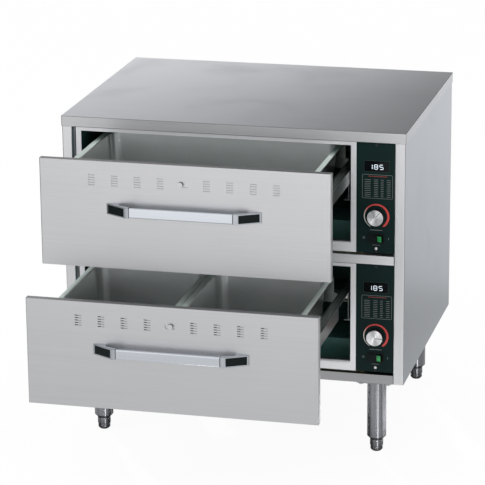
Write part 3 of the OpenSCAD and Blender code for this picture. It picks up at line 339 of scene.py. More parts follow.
# Painted light: the stile, the folded front edge of a side panel, gets a lighter copy of the side panels' steel.
LIT_STILE_STEEL = steel("stile_steel_painted_light", "z", 0.7, 0.84, 0.38, wear_and_edge_light=0.15)
# Painted light: the front rim of each bay's liner gets a far lighter copy of the liner's steel, which makes up for
# the shade it lies in.
LIT_RIM_STEEL = steel("bay_rim_steel_painted_light", "z", 0.84, 0.94, 0.58, wear_and_edge_light=0.1)
# Painted light: the cover's folded front hem gets a lighter copy of the cover's steel.
LIT_HEM_STEEL = steel("cover_hem_steel_painted_light", "x", 0.6, 0.74, 0.5, wear_and_edge_light=0.1)
# Painted shade: nearly black steel draws thin lines of shade in the cover's folds and at the handles' joints.
FOLD_SHADE_STEEL = steel("painted_shade_in_folds", "none", 0.05, 0.09, 0.4, wear_and_edge_light=0.1, painted_edge_tone=0.2)
# Painted shade: the base pan gets a darker steel than the other panels, for the shaded floor under the drawer that
# it mirrors.
SHADED_BASE_STEEL = steel("base_steel_painted_shade", "x", 0.36, 0.46, 0.35, wear_and_edge_light=0.25)
LINER_STEEL = steel("mill_finish_liner", "y", 0.46, 0.6, 0.36, COOL, wear_and_edge_light=0.15, marks=0.1)
# Painted shade: the slides and rails get a dark, greenish steel, darker than bare slides, as they lie in the shade
# of the bay.
SHADED_SLIDE_STEEL = steel("slide_steel_painted_shade", "y", 0.18, 0.3, 0.3, GREENISH, wear_and_edge_light=0.8, painted_edge_tone=0.75)
# Painted highlight: a light steel on the narrow edge faces of the slides draws their bright lines.
SLIDE_EDGE_HIGHLIGHT = steel("slide_edge_painted_highlight", "y", 0.84, 0.95, 0.4, GREENISH, wear_and_edge_light=0.1)
# Painted light: a far lighter steel for the pan adapter bar, which lies in shade, and for the top of each pan's
# rim.
LIT_BAR_STEEL = steel("adapter_bar_and_rim_painted_light", "y", 0.84, 0.95, 0.6, GREENISH, wear_and_edge_light=0.1)
PAN_STEEL = steel("drawn_pan_steel", "none", 0.54, 0.64, 0.3, PALE_GREEN, depth=0.000004, wear_and_edge_light=0.3,
                  marks=0.06)
# Painted shade: the legs get a darker steel than the cabinet, for the shade under the cabinet that they mirror.
SHADED_LEG_STEEL = steel("turned_leg_steel_painted_shade", "z", 0.3, 0.4, 0.27, COOL, depth=0.000004, wear_and_edge_light=0.1,
                  marks=0.02, upright_shine=1.0)
SCREW_STEEL = steel("plain_screw_steel", "none", 0.5, 0.66, 0.3, wear_and_edge_light=0.2)
CHROME = steel("polished_handle", "x", 0.68, 0.79, 0.22, COOLER, depth=0.000004, wear_and_edge_light=0.4)
SATIN_CHROME = steel("satin_handle_end", "none", 0.5, 0.6, 0.42, COOLER, depth=0.000004, wear_and_edge_light=0.8,
                     painted_edge_tone=0.1)
DAMPER_STEEL = steel("brushed_steel_damper", "x", 0.6, 0.74, 0.4, wear_and_edge_light=0.8, painted_edge_tone=0.1)
ELEMENT_METAL = steel("oxidised_element", "none", 0.05, 0.12, 0.5, depth=0.00006, wear_and_edge_light=0.05)
print("materials so far:", len(bpy.data.materials))

# %% [markdown]
# Plastic, enamel and printing reflect little, so their own colour shows. A sprayed or moulded skin
# has a fine grain that only roughens the highlight. Edges of black enamel wear to grey.

# %% Coated and moulded surfaces
def coated(name, colour, roughness, grain=1600.0, depth=0.00002, wear_and_edge_light=0.25, worn_to=0.35,
           shine=0.5):
    material, tree, shader = start_material(name, Specular_IOR_Level=shine)
    fine = place_group(tree, SPECKLE, Scale=grain)
    hands = place_group(tree, MARKS, Scale=11.0)
    edge = place_group(tree, EDGES, Width=0.0006)
    tone = mix_colours(tree, fine["Tone"], tuple(c * 0.8 for c in colour),
                       tuple(min(c * 1.3, 1) for c in colour))
    paler = tuple(c + (worn_to - c) * 0.6 for c in colour)
    wire(tree, shader, mix_colours(tree, spread(tree, edge["Mask"], 0, wear_and_edge_light), tone, paler),
         spread(tree, hands["Mask"], roughness, roughness + 0.1))
    bump(tree, shader, fine["Height"], depth)
    return material


# %% Enamel, plastics and printing
PANEL_ENAMEL = coated("black_enamel", (0.0045, 0.0175, 0.0165), 0.4, wear_and_edge_light=0.2, shine=0.1)
# Painted shade: a dark teal skin for the inside of each bay and the heat baffles, where the bay is in shade.
SHADED_BAY_SKIN = coated("bay_painted_shade", (0.07, 0.185, 0.165), 0.42, grain=420.0, depth=0.00004,
                   wear_and_edge_light=0.2, worn_to=0.3, shine=0.3)
# Blackened screws on the control panels, and also painted shade behind the drawer fronts' vents and round the
# damper knobs.
BLACKENED_AND_SHADE = coated("blackened_screw_and_painted_shade", (0.01, 0.014, 0.014), 0.4, wear_and_edge_light=0.2)
BLACK_PLASTIC = coated("black_moulding", (0.005, 0.008, 0.008), 0.38, wear_and_edge_light=0.15, shine=0.14)
WINDOW_PLASTIC = coated("smoked_window", (0.003, 0.004, 0.005), 0.1, depth=0.000002, wear_and_edge_light=0.1,
                        shine=0.12)
GREY_PRINT = coated("grey_printing", (0.17, 0.19, 0.185), 0.5, wear_and_edge_light=0.0)
DARK_PRINT = coated("dark_printing", (0.02, 0.03, 0.03), 0.5, wear_and_edge_light=0.0)
RED_PRINT = coated("red_printing", (0.2, 0.025, 0.022), 0.45, wear_and_edge_light=0.0)
NYLON = coated("nylon_roller", (0.72, 0.7, 0.64), 0.42, wear_and_edge_light=0.1, worn_to=0.9)
TERMINAL_PLASTIC = coated("terminal_moulding", (0.62, 0.58, 0.46), 0.45, worn_to=0.9)
WIRE_COVER = coated("wire_sleeving", (0.3, 0.02, 0.015), 0.5, wear_and_edge_light=0.1)
BLANKET = coated("fibre_blanket", (0.5, 0.42, 0.24), 0.95, grain=420.0, depth=0.0012, wear_and_edge_light=0.0)
GREEN_LENS = coated("green_lens", (0.03, 0.36, 0.1), 0.18, depth=0.000003, wear_and_edge_light=0.1)
LAMP_LENS = coated("clear_lamp", (0.72, 0.74, 0.72), 0.12, depth=0.000003, wear_and_edge_light=0.1, worn_to=1.0)
print("materials so far:", len(bpy.data.materials))


# %% Digits that glow
def lit_digits():
    material, tree, shader = start_material("lit_digits", Roughness=0.4, Emission_Strength=0.6)
    fine = place_group(tree, SPECKLE, Scale=900.0)
    lit = mix_colours(tree, fine["Tone"], (0.62, 0.72, 0.8), (0.9, 0.95, 1.0))
    for name in ("Emission Color", "Base Color"):
        tree.links.new(lit, shader.inputs[name])
    return material


LIT_DIGITS = lit_digits()
print("materials:", len(bpy.data.materials))

# %% [markdown]
# ## Folded sheet and machined edges
# A press brake never leaves a knife edge. Every fold and every cut edge has a small radius, and it
# is that radius that draws the bright line round each panel. The CAD solids have sharp edges, so
# each one that shows is copied, its loose triangles are merged, and its sharp edges are bevelled.
# The copy takes the place of the solid, and it lies exactly where the solid lay.

# %% Make and finish a piece
def finish_piece(obj, body, material, slot, *replaced):
    obj.data.materials.clear()
    obj.data.materials.append(material)
    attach(obj, body)
    if replaced:
        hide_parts(*replaced)
    return obj


def shade(mesh, smooth_below=35):
    mesh.shade_smooth()
    mesh.set_sharp_from_angle(angle=math.radians(smooth_below))
    return mesh


def mesh_of(name, shape):
    mesh = bpy.data.meshes.new(name)
    shape.to_mesh(mesh)
    shape.free()
    return mesh


def piece_from_bmesh(name, shape, smooth_below=35):
    return new_object(name, shade(mesh_of(name, shape), smooth_below))


# %% Move, turn and copy a shape
def moved(shape, by):
    bmesh.ops.translate(shape, vec=by, verts=shape.verts)
    return shape


def turned(shape, angle, axis):
    bmesh.ops.rotate(shape, matrix=Matrix.Rotation(angle, 3, axis), verts=shape.verts)
    return shape


def merged_copy(node):
    shape = bmesh.new()
    shape.from_mesh(SOLIDS[node].data)
    bmesh.ops.remove_doubles(shape, verts=shape.verts, dist=1e-6)
    bmesh.ops.dissolve_limit(shape, angle_limit=math.radians(0.4),
                             verts=shape.verts, edges=shape.edges)
    return shape


# %% Bevels
def bevel(shape, edges, width, segments=2, **more):
    bmesh.ops.bevel(shape, geom=edges, offset=width, segments=segments, profile=0.5,
                    affect="EDGES", **more)


def bevel_sharp(shape, width, sharper_than=32):
    sharp = [e for e in shape.edges
             if len(e.link_faces) == 2 and e.calc_face_angle() > math.radians(sharper_than)]
    bevel(shape, sharp, width, offset_type="OFFSET", clamp_overlap=True)


def spans_of(points):
    return [(min(c[k] for c in points), max(c[k] for c in points)) for k in range(3)]


def round_front_rim(shape, radius=1.6 * MM, near=0.05 * MM):
    """The drawer fronts are folded over a wide tool, so their rims are rounder than other edges."""
    spans = spans_of([v.co for v in shape.verts])
    rim = []
    for edge in shape.edges:
        ends = [v.co for v in edge.verts]
        on_front = all(abs(c.y - spans[1][0]) < near for c in ends)
        if on_front and any(all(abs(c[k] - at) < near for c in ends)
                            for k in (0, 2) for at in spans[k]):
            rim.append(edge)
    bevel(shape, rim, radius, segments=4, offset_type="OFFSET", clamp_overlap=True)


# %% A finished copy of a solid
def keep_flats_flat(obj):
    """A wide face next to a narrow bevel takes its shading from its own area, so it stays flat."""
    modifier = obj.modifiers.new("even_shading", "WEIGHTED_NORMAL")
    modifier.mode, modifier.weight, modifier.keep_sharp = "FACE_AREA", 80, True
    graph = bpy.context.evaluated_depsgraph_get()
    old = obj.data
    obj.data = bpy.data.meshes.new_from_object(obj.evaluated_get(graph))
    obj.modifiers.clear()
    bpy.data.meshes.remove(old)
    return obj


def soften(node, material, width):
    shape = merged_copy(node)
    if node.endswith("drawer_front"):
        round_front_rim(shape)
    if width:
        bevel_sharp(shape, width)
    obj = keep_flats_flat(piece_from_bmesh(node + "_finished", shape))
    return finish_piece(obj, BODY_OF[node], material, SLOT_OF[node], node)


# %% More materials on one piece, and names for groups of pieces
def repaint(obj, node, material, chosen):
    """Give one more material to the faces that are chosen by their place, direction or area."""
    low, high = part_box(node)
    obj.data.materials.append(material)
    index = len(obj.data.materials) - 1
    for face in obj.data.polygons:
        if chosen(face.center, face.normal, low, high, face.area):
            face.material_index = index


def nodes_like(pattern):
    """'bay liner' names the liner of each bay, and 'corner foot' the foot at each corner."""
    group, _, kind = pattern.partition(" ")
    places = {"bay": BAYS, "side": ("left", "right"), "corner": CORNERS}
    return [f"{place}_{kind}" for place in places[group]] if kind else [pattern]


print(nodes_like("corner foot"))

# %% Sheet metal and mouldings
# Each entry is a piece, its material and the width of its bevels in millimetres.
FINISHES = [
    ("top_cover", COVER_STEEL, 1.0), ("side side_panel", SIDE_STEEL, 0.3),
    ("back_panel", BACK_STEEL, 0.2), ("base_pan", SHADED_BASE_STEEL, 0.3), ("mid_rail", LIT_MID_RAIL_STEEL, 0.3),
    ("bay liner", LINER_STEEL, 0.3), ("bay drawer_front", FRONT_STEEL, 0.3),
    ("bay inner_front", LINER_STEEL, 0.2), ("bay drawer_frame", SHADED_SLIDE_STEEL, 0.7),
    ("bay fixed_slides", SHADED_SLIDE_STEEL, 0.7), ("bay heat_baffle", SHADED_SLIDE_STEEL, 0.2),
    ("bay control_panel", PANEL_ENAMEL, 0.3), ("bay display", WINDOW_PLASTIC, 0.3),
    ("bay switch_housing", BLACK_PLASTIC, 0.4), ("bay rocker", BLACK_PLASTIC, 0.4),
    ("bay damper", DAMPER_STEEL, 0.2), ("bay handle_bar", CHROME, 1.2),
    ("bay handle_ends", SATIN_CHROME, 1.2), ("bay handle_inlays", BLACK_PLASTIC, 0.3),
    ("pan_adapter_bar", LIT_BAR_STEEL, 0.4), ("bay front_rollers", NYLON, 0.5),
    ("bay rear_rollers", NYLON, 0.5), ("legs", SHADED_LEG_STEEL, 0.6), ("corner foot", SHADED_LEG_STEEL, 0.6),
    ("bay thermostat", SCREW_STEEL, 0.5), ("terminal_block", TERMINAL_PLASTIC, 0.6),
    ("cable_gland", BLACK_PLASTIC, 0.6), ("bay insulation", BLANKET, 0.0),
    ("cabinet_screws", SCREW_STEEL, 0.2),
]
FINISHED = {node: soften(node, material, width * MM)
            for pattern, material, width in FINISHES for node in nodes_like(pattern)}
print("finished:", len(FINISHED))

# %% [markdown]
# One sheet can look like several. The folded front edge of a side panel is the stile beside the
# drawers, lightened with painted light; the inside of a liner is darkened with painted shade; and a
# fold or a joint is a thin dark line of painted shade. The slides' edges get painted highlights.
# So some faces get a second material. A face is chosen by its middle (at), by the way it faces and
# by its area, set against the corners (low, high) of its solid's box.

# %% Faces with a finish of their own
EDGE_ZONE = 3 * MM
PANEL_SCREWS_FRONT_OF, PANEL_SCREWS_X = -0.2785, (0.3, 0.32)


def front_fold(at, facing, low, high, area):
    return facing.y < -0.5 and at.y < low.y + EDGE_ZONE


def cover_fold(at, facing, low, high, area):
    above = 0.2 < facing.z < 0.97 and at.z > high.z - 1.5 * MM
    return above or (-0.97 < facing.z < -0.2 and at.y < low.y + EDGE_ZONE)


def flange_or_vent(at, facing, low, high, area):
    """The top flange, the back of the skin, or the cut edge inside a vent's slot: the faces that get painted
    shade.
    """
    inset = 6 * MM
    in_slot = (abs(facing.y) < 0.5 and at.y < low.y + EDGE_ZONE
               and low.z + inset < at.z < high.z - inset and low.x + inset < at.x < high.x - inset)
    on_top = facing.z > 0.8 and at.z > high.z - 1 * MM
    return in_slot or on_top or (facing.y > 0.5 and at.y < high.y - 2 * MM)


def knob_rim(at, facing, low, high, area):
    return abs(facing.y) < 0.6 and at.y < low.y + EDGE_ZONE


def bar_end(at, facing, low, high, area):
    return min(at.x - low.x, high.x - at.x) < 1.4 * MM


def slide_edge(at, facing, low, high, area):
    return abs(facing.y) < 0.3 and max(abs(facing.x), abs(facing.z)) < 0.95


def panel_screw(at, facing, low, high, area):
    return at.y < PANEL_SCREWS_FRONT_OF and PANEL_SCREWS_X[0] < at.x < PANEL_SCREWS_X[1]


# %% Give these faces their materials
# Most of these are painted light or shade: lighter steel on the stiles, the bay rims and the cover's hem, dark
# paint inside the bays, behind the vents, round the dampers, in folds and at joints, light lines on the slides'
# edges. Only the panel screws keep their own black.
REPAINTS = [
    ("side side_panel", LIT_STILE_STEEL, front_fold),
    ("bay liner", SHADED_BAY_SKIN, lambda at, facing, low, high, area: at.y > low.y + 12 * MM),
    ("bay liner", LIT_RIM_STEEL, front_fold),
    ("bay heat_baffle", SHADED_BAY_SKIN, lambda at, facing, low, high, area: at.y < high.y - 12 * MM),
    ("bay inner_front", BLACKENED_AND_SHADE, lambda at, facing, low, high, area: facing.y < -0.5),
    ("bay drawer_front", SHADED_FLANGE_STEEL, flange_or_vent),
    ("bay damper", BLACKENED_AND_SHADE, knob_rim), ("bay handle_bar", FOLD_SHADE_STEEL, bar_end),
    ("bay handle_ends", FOLD_SHADE_STEEL, lambda at, facing, low, high, area: area < 60 * MM * MM),
    ("bay drawer_frame", SLIDE_EDGE_HIGHLIGHT, slide_edge), ("bay fixed_slides", SLIDE_EDGE_HIGHLIGHT, slide_edge),
    ("top_cover", LIT_HEM_STEEL, front_fold), ("top_cover", FOLD_SHADE_STEEL, cover_fold),
    ("cabinet_screws", BLACKENED_AND_SHADE, panel_screw),
]
for pattern, material, chosen in REPAINTS:
    for node in nodes_like(pattern):
        repaint(FINISHED[node], node, material, chosen)
print("repainted:", len(REPAINTS))

# %% [markdown]
# ## What is left of the solids
# Pieces that are rebuilt further down hide their solid. The others keep their own mesh and only get
# a material, so that nothing is left in plain grey.

# %% Materials for the solids themselves
KEPT = {"bay heating_element": ELEMENT_METAL, "wiring_loom": WIRE_COVER, "pilot_lamps": LAMP_LENS}
for pattern, material in KEPT.items():
    for node in nodes_like(pattern):
        SOLIDS[node].data.materials.clear()
        SOLIDS[node].data.materials.append(material)
print("solids that show:", list(KEPT))

# %% [markdown]
# ## Food pans
# A pan is drawn from one disc of steel: a flat rim with a turned-down edge, a soft shoulder, walls
# that lean in, and a generous radius down to a floor. A loft says all of that: a list of rounded
# rectangles, each a little smaller or lower than the last, skinned one to the next. The outside is
# lofted down and the inside back up, so the pan has a real wall and is closed.

# %% Loops and the skin between them
CORNER_STEPS = 10


def rounded_loop(shape, centre, width, depth, radius, height):
    loop = []
    for turn, (sx, sy) in enumerate(((1, 1), (-1, 1), (-1, -1), (1, -1))):
        cx = centre[0] + sx * (width / 2 - radius)
        cy = centre[1] + sy * (depth / 2 - radius)
        for step in range(CORNER_STEPS + 1):
            a = math.radians(90 * (turn + step / CORNER_STEPS))
            loop.append(shape.verts.new((cx + radius * math.cos(a), cy + radius * math.sin(a),
                                         height)))
    return loop


def skin(shape, loops):
    for first, second in zip(loops, loops[1:]):
        for k in range(len(first)):
            j = (k + 1) % len(first)
            shape.faces.new((first[k], first[j], second[j], second[k]))


def close(shape, *ends):
    """Cap the open ends and point every face outwards."""
    for end in ends:
        shape.faces.new(end)
    bmesh.ops.recalc_face_normals(shape, faces=shape.faces)
    return shape


# %% Section of a pan's wall
PAN_RIM, PAN_WALL, PAN_LEAN, PAN_CORNER = 12 * MM, 1 * MM, 11 * MM, 30 * MM
PAN_SHOULDER, PAN_FOOT = 4 * MM, 16 * MM


def arc_steps(count):
    return [math.radians(90 * k / count) for k in range(count + 1)]


def pan_profile(depth):
    """(inset from the rim's outer edge, height) along the inside, from the lip to the floor."""
    mouth, floor, slope = PAN_RIM + PAN_WALL, depth - PAN_WALL, PAN_LEAN / depth
    wall_end = mouth + slope * (floor - PAN_FOOT)
    shoulder = [(mouth - PAN_SHOULDER * (1 - math.sin(a)), -PAN_SHOULDER * (1 - math.cos(a)))
                for a in arc_steps(4)]
    foot = [(wall_end + PAN_FOOT * (1 - math.cos(a)), PAN_FOOT - floor - PAN_FOOT * math.sin(a))
            for a in arc_steps(5)]
    return [(0.2 * MM, -0.25 * MM), (0.9 * MM, 0.0), *shoulder, *foot,
            (mouth + slope * floor + 50 * MM, -floor - 0.1 * MM)]


print("steps in a pan's wall:", len(pan_profile(150 * MM)))


# %% Pans
def make_pan(node):
    low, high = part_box(node)
    shape = bmesh.new()

    def loop_at(inset, z):
        return rounded_loop(shape, (low + high) / 2, high.x - low.x - 2 * inset,
                            high.y - low.y - 2 * inset, max(PAN_CORNER - inset * 0.5, 5 * MM),
                            high.z + z)

    inside = pan_profile(high.z - low.z)
    lip = ((0.0, -0.9 * MM), (0.0, -1.9 * MM), (0.9 * MM, -1.9 * MM), (0.9 * MM, -1.1 * MM))
    inner = [loop_at(inset, z) for inset, z in inside]
    outer = [loop_at(inset, z) for inset, z in lip]
    outer += [loop_at(max(inset - PAN_WALL, 1.2 * MM), z - PAN_WALL) for inset, z in inside[2:]]
    skin(shape, [*reversed(inner), *outer])
    pan = piece_from_bmesh(node + "_drawn", close(shape, inner[-1], outer[-1]), smooth_below=50)
    finish_piece(pan, BODY_OF[node], PAN_STEEL, SLOT_OF[node], node)
    # Painted highlight: the top of the rim gets a far lighter steel, which draws a bright line round the pan.
    repaint(pan, node, LIT_BAR_STEEL,
            lambda at, facing, low, high, area: at.z > high.z - 1.2 * MM)
    return pan


for node in ("full_pan", "left_half_pan", "right_half_pan"):
    pan = make_pan(node)
    print(pan.name, len(pan.data.polygons), "faces")

# %% [markdown]
# ## Geometry Nodes for what repeats
# Ticks, table rows, screws and louvres are one shape placed many times. A small tree does each
# kind of placing: round a ring, in a column, or at given points. The tree has named inputs for its
# sizes, and ends by making its instances real, so that the result is a plain mesh.

# %% What the three trees share
def copies_tree(name, *inputs):
    return new_tree(name, "GeometryNodeTree",
                    [("Geometry", GEOMETRY, None), *inputs, ("Shape", OBJECT, None),
                     ("Finish", MATERIAL, None)], [("Geometry", GEOMETRY)])


def copy_to(tree, given, end, points, **turn):
    """Put the shape at each point, make the copies real and paint them."""
    info = add(tree, "GeometryNodeObjectInfo", Object=given["Shape"])
    copies = add(tree, "GeometryNodeInstanceOnPoints", Points=points,
                 Instance=info.outputs["Geometry"], **turn)
    real = add(tree, "GeometryNodeRealizeInstances", Geometry=copies.outputs[0])
    painted = add(tree, "GeometryNodeSetMaterial", Geometry=real.outputs[0],
                  Material=given["Finish"])
    return give(tree, end, Geometry=painted.outputs[0])


# %% Tree: a ring of copies
def make_ring_tree():
    tree, given, end = copies_tree("ring_of_copies", ("Count", WHOLE, 12), ("Radius", FLOAT, 0.02),
                                   ("From", FLOAT, 0.0), ("To", FLOAT, 6.0))
    index = add(tree, "GeometryNodeInputIndex").outputs[0]
    share = maths(tree, "DIVIDE", index, maths(tree, "SUBTRACT", given["Count"], 1.0))
    turn = spread(tree, share, given["From"], given["To"])
    x, z = (maths(tree, "MULTIPLY", maths(tree, side, turn), given["Radius"])
            for side in ("SINE", "COSINE"))
    at = add(tree, "ShaderNodeCombineXYZ", X=x, Z=z)
    angles = add(tree, "ShaderNodeCombineXYZ", Y=turn)
    points = add(tree, "GeometryNodePoints", Count=given["Count"], Position=at.outputs[0])
    rotation = add(tree, "FunctionNodeEulerToRotation", _0=angles.outputs[0])
    return copy_to(tree, given, end, points.outputs[0], Rotation=rotation.outputs[0])


RING_TREE = tell(make_ring_tree())


# %% Tree: a column of copies
def make_column_tree():
    tree, given, end = copies_tree("column_of_copies", ("Rows", WHOLE, 2), ("Height", FLOAT, 0.02))
    line = add(tree, "GeometryNodeMeshGrid", Size_X=0.0, Size_Y=given["Height"],
               Vertices_X=1, Vertices_Y=given["Rows"])
    upright = add(tree, "GeometryNodeTransform", Geometry=line.outputs["Mesh"],
                  Rotation=(math.pi / 2, 0, 0))
    return copy_to(tree, given, end, upright.outputs[0])


COLUMN_TREE = tell(make_column_tree())


# %% Tree: copies at given points
def make_points_tree():
    tree, given, end = copies_tree("copies_at_points")
    return copy_to(tree, given, end, given["Geometry"])


POINTS_TREE = tell(make_points_tree())


# %% Run a tree and keep its mesh
def grow(name, tree, shape, place, material, body, slot, start_mesh=None, **values):
    """Let a tree copy shape, and keep the result, at place, as a plain finished piece."""
    stamp = new_object("stamp", mesh_of("stamp", shape))
    source = new_object(name + "_source", start_mesh or bpy.data.meshes.new("none"))
    modifier = source.modifiers.new(tree.name, "NODES")
    modifier.node_group = tree
    values.update(Shape=stamp, Finish=material)
    for item in tree.interface.items_tree:
        if item.in_out == "INPUT" and item.name in values:
            modifier[item.identifier] = values[item.name]
    graph = bpy.context.evaluated_depsgraph_get()
    mesh = bpy.data.meshes.new_from_object(source.evaluated_get(graph))
    source.modifiers.clear()
    for helper in (source, stamp):
        bpy.data.objects.remove(helper)
    mesh.transform(Matrix.Translation(place))
    return finish_piece(new_object(name, shade(mesh)), body, material, slot)


# %% Blocks, and shapes joined to one
def block(size, rounding=0.0, at=(0, 0, 0)):
    shape = bmesh.new()
    bmesh.ops.create_cube(shape, size=1)
    bmesh.ops.scale(shape, vec=size, verts=shape.verts)
    if rounding:
        bevel(shape, shape.edges[:], rounding)
    return moved(shape, at)


def join_shapes(shapes):
    whole = bmesh.new()
    for shape in shapes:
        mesh = mesh_of("part", shape)
        whole.from_mesh(mesh)
        bpy.data.meshes.remove(mesh)
    return whole


# %% [markdown]
# ## Thermostat knobs
# The knob is turned from aluminium: a fluted skirt and a flat spun face with a small dimple in its
# middle and one painted rib that points to the setting. The tool leaves rings on the face, and they
# stretch every reflection outwards, which draws the two bright wedges across the knob. So the metal
# is anisotropic, and its direction at each point is the one away from the knob's middle.

# %% Turn a profile on a lathe
def lathe(profile, steps=72):
    """Turn (radius, distance along -Y) pairs, in millimetres, about the Y axis."""
    shape = bmesh.new()
    rings = []
    for radius, out in profile:
        turns = [2 * math.pi * k / steps for k in range(steps)] if radius else [0.0]
        rings.append([shape.verts.new(mm(radius * math.cos(a), -out, radius * math.sin(a)))
                      for a in turns])
    for first, second in zip(rings, rings[1:]):
        for k in range(steps):
            j = (k + 1) % steps
            corners = [first[k % len(first)], first[j % len(first)],
                       second[j % len(second)], second[k % len(second)]]
            unique = list(dict.fromkeys(corners))
            if len(unique) > 2:
                shape.faces.new(unique)
    return close(shape)


# %% Metal that was spun
def away_from_knob(tree, which):
    """The flat direction from a knob's middle to the point being shaded, in the object's axes."""
    apart = vectors(tree, "SUBTRACT", object_place(tree), joint_at(which + "_knob_turn"))
    return vectors(tree, "MULTIPLY", apart, (1, 0, 1))


def spun_metal(which):
    material, tree, shader = start_material("spun_aluminium_" + which, Metallic=1.0,
                                            Anisotropic=1.0)
    flat = away_from_knob(tree, which)
    rings = add(tree, "ShaderNodeTexNoise", {"noise_dimensions": "1D"},
                W=vectors(tree, "LENGTH", flat), Scale=3200.0, Detail=3.0).outputs[0]
    edge = place_group(tree, EDGES, Width=0.0007)
    tone = mix_colours(tree, rings, (0.8, 0.81, 0.83), (0.97, 0.97, 0.98))
    wire(tree, shader, mix_colours(tree, spread(tree, edge["Mask"], 0, 0.3), tone,
                                   (0.95, 0.95, 0.96)), spread(tree, rings, 0.25, 0.33))
    in_world = add(tree, "ShaderNodeVectorTransform",
                   {"vector_type": "VECTOR", "convert_from": "OBJECT", "convert_to": "WORLD"},
                   _0=flat)
    outwards = vectors(tree, "NORMALIZE", in_world.outputs[0])
    tree.links.new(outwards, shader.inputs["Tangent"])
    bump(tree, shader, rings, 0.000006)
    return material


# %% Knobs
KNOB_RADIUS, KNOB_FACE = 17.5, 16.2
KNOB_REST = {"upper": math.radians(38), "lower": math.radians(92)}
FLUTES = 60


def make_knob(which):
    node, centre = which + "_thermostat_knob", joint_at(which + "_knob_turn")
    body, slot, turn = BODY_OF[node], SLOT_OF[node], KNOB_REST[which]
    r, face = KNOB_RADIUS, KNOB_FACE
    turning = lathe([(0, 3.2), (r - 3.2, 3.2), (r - 3.0, 1.0), (r - 0.4, 0.9), (r - 0.05, 1.3),
                     (r - 0.2, face - 1.2), (r - 0.5, face - 0.4), (r - 1.3, face - 0.05),
                     (r - 2.0, face), (r - 2.4, face - 0.15), (r - 2.7, face - 0.15),
                     (1.9, face - 0.15), (1.5, face - 0.15), (0.9, face - 0.6), (0, face - 0.7)])
    knob = piece_from_bmesh(node + "_turned", moved(turned(turning, turn, "Y"), centre))
    finish_piece(knob, body, spun_metal(which), slot, node)
    repaint(knob, node, BLACK_PLASTIC, lambda at, facing, low, high, area: facing.y > -0.3)
    grow(which + "_knob_flutes", RING_TREE, block(mm(0.5, face - 4, 0.5), 0.15 * MM),
         centre + mm(0, -face / 2 - 0.2, 0), BLACK_PLASTIC, body, slot, Count=FLUTES,
         Radius=(r - 0.2) * MM, From=0.0, To=2 * math.pi * (FLUTES - 1) / FLUTES)
    rib = block(mm(1.0, 0.9, r - 3.2), 0.25 * MM, mm(0, -face - 0.1, (r + 2.0) / 2))
    line = piece_from_bmesh(which + "_knob_pointer", moved(turned(rib, turn, "Y"), centre))
    finish_piece(line, body, BLACK_PLASTIC, slot)


for which in BAYS:
    make_knob(which)
print("knobs made")

# %% [markdown]
# ## Printing on the control panels
# The panel is silk-screened: a dial arc that swells from thin and pale to thick and red as the
# setting gets hotter, a framed table above it, and small marks by the switch. Ink is a skin a tenth
# of a millimetre thick, so each print is a real thin mesh that lies on the enamel. The table has
# short dashes in rows, which read as entries from a step away and say nothing.

# %% Places on a panel
INK = 0.12 * MM
LINER_RISE = 6 * MM


def panel_face(which):
    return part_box(which + "_control_panel")[0].y


def bay_floor(which):
    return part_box(which + "_control_panel")[0].z - LINER_RISE


def controls_x(which):
    return joint_at(which + "_knob_turn").x


def ink_bar(width, height, at=(0, 0, 0)):
    return block((width, INK, height), 0, at)


def print_piece(name, which, shape, material):
    obj = piece_from_bmesh(f"{which}_{name}", shape)
    return finish_piece(obj, "cabinet", material, "panel_paint")


print("panel faces at y =", [round(panel_face(which), 4) for which in BAYS])

# %% Ink of the dial
ARC_RADIUS, ARC_STEPS = 25.8 * MM, 72
ARC_FROM, ARC_TO = math.radians(-150), math.radians(147)
PALE_INK, HOT_INK, HOTTEST_INK = (0.74, 0.72, 0.67), (0.54, 0.04, 0.035), (0.74, 0.065, 0.055)
PALE_UNTIL, HOT_FROM = math.radians(-95), math.radians(-35)
TICKS, TICK_RADIUS, TICK_REACH = 9, 21.6 * MM, math.radians(125)


def arc_material(which):
    """Ink that turns from pale to red with the angle about the dial's middle."""
    material, tree, shader = start_material("heat_arc_printing_" + which)
    sides = add(tree, "ShaderNodeSeparateXYZ", Vector=away_from_knob(tree, which)).outputs
    warmth = spread(tree, maths(tree, "ARCTAN2", sides["X"], sides["Z"]), 0, 1,
                    PALE_UNTIL, HOT_FROM, smooth=True)
    tone = place_group(tree, SPECKLE, Scale=900.0)["Tone"]
    hot = mix_colours(tree, tone, HOT_INK, HOTTEST_INK)
    wire(tree, shader, mix_colours(tree, warmth, PALE_INK, hot), spread(tree, tone, 0.4, 0.5))
    return material


# %% Dial arc
def dial_arc(which):
    centre, y = joint_at(which + "_knob_turn"), panel_face(which)
    shape = bmesh.new()
    rows = []
    for k in range(ARC_STEPS + 1):
        share = k / ARC_STEPS
        a = ARC_FROM + (ARC_TO - ARC_FROM) * share
        swell, taper = 0.55 + 1.75 * min(share * 1.3, 1), min(1, 0.35 + (1 - share) * 22)
        inner, outer = ARC_RADIUS - swell * taper * MM, ARC_RADIUS + swell * taper * MM
        rows.append([shape.verts.new((centre.x + radius * math.sin(a), y - out,
                                      centre.z + radius * math.cos(a)))
                     for radius, out in ((inner, 0), (inner, INK), (outer, INK), (outer, 0))])
    skin(shape, rows)
    return print_piece("dial_arc", which, close(shape, rows[0], rows[-1]), arc_material(which))


def dial_ticks(which):
    centre = joint_at(which + "_knob_turn")
    return grow(which + "_dial_ticks", RING_TREE, ink_bar(0.5 * MM, 2.6 * MM),
                Vector((centre.x, panel_face(which) - INK / 2, centre.z)), DARK_PRINT, "cabinet",
                "panel_paint", Count=TICKS, Radius=TICK_RADIUS, From=-TICK_REACH, To=TICK_REACH)


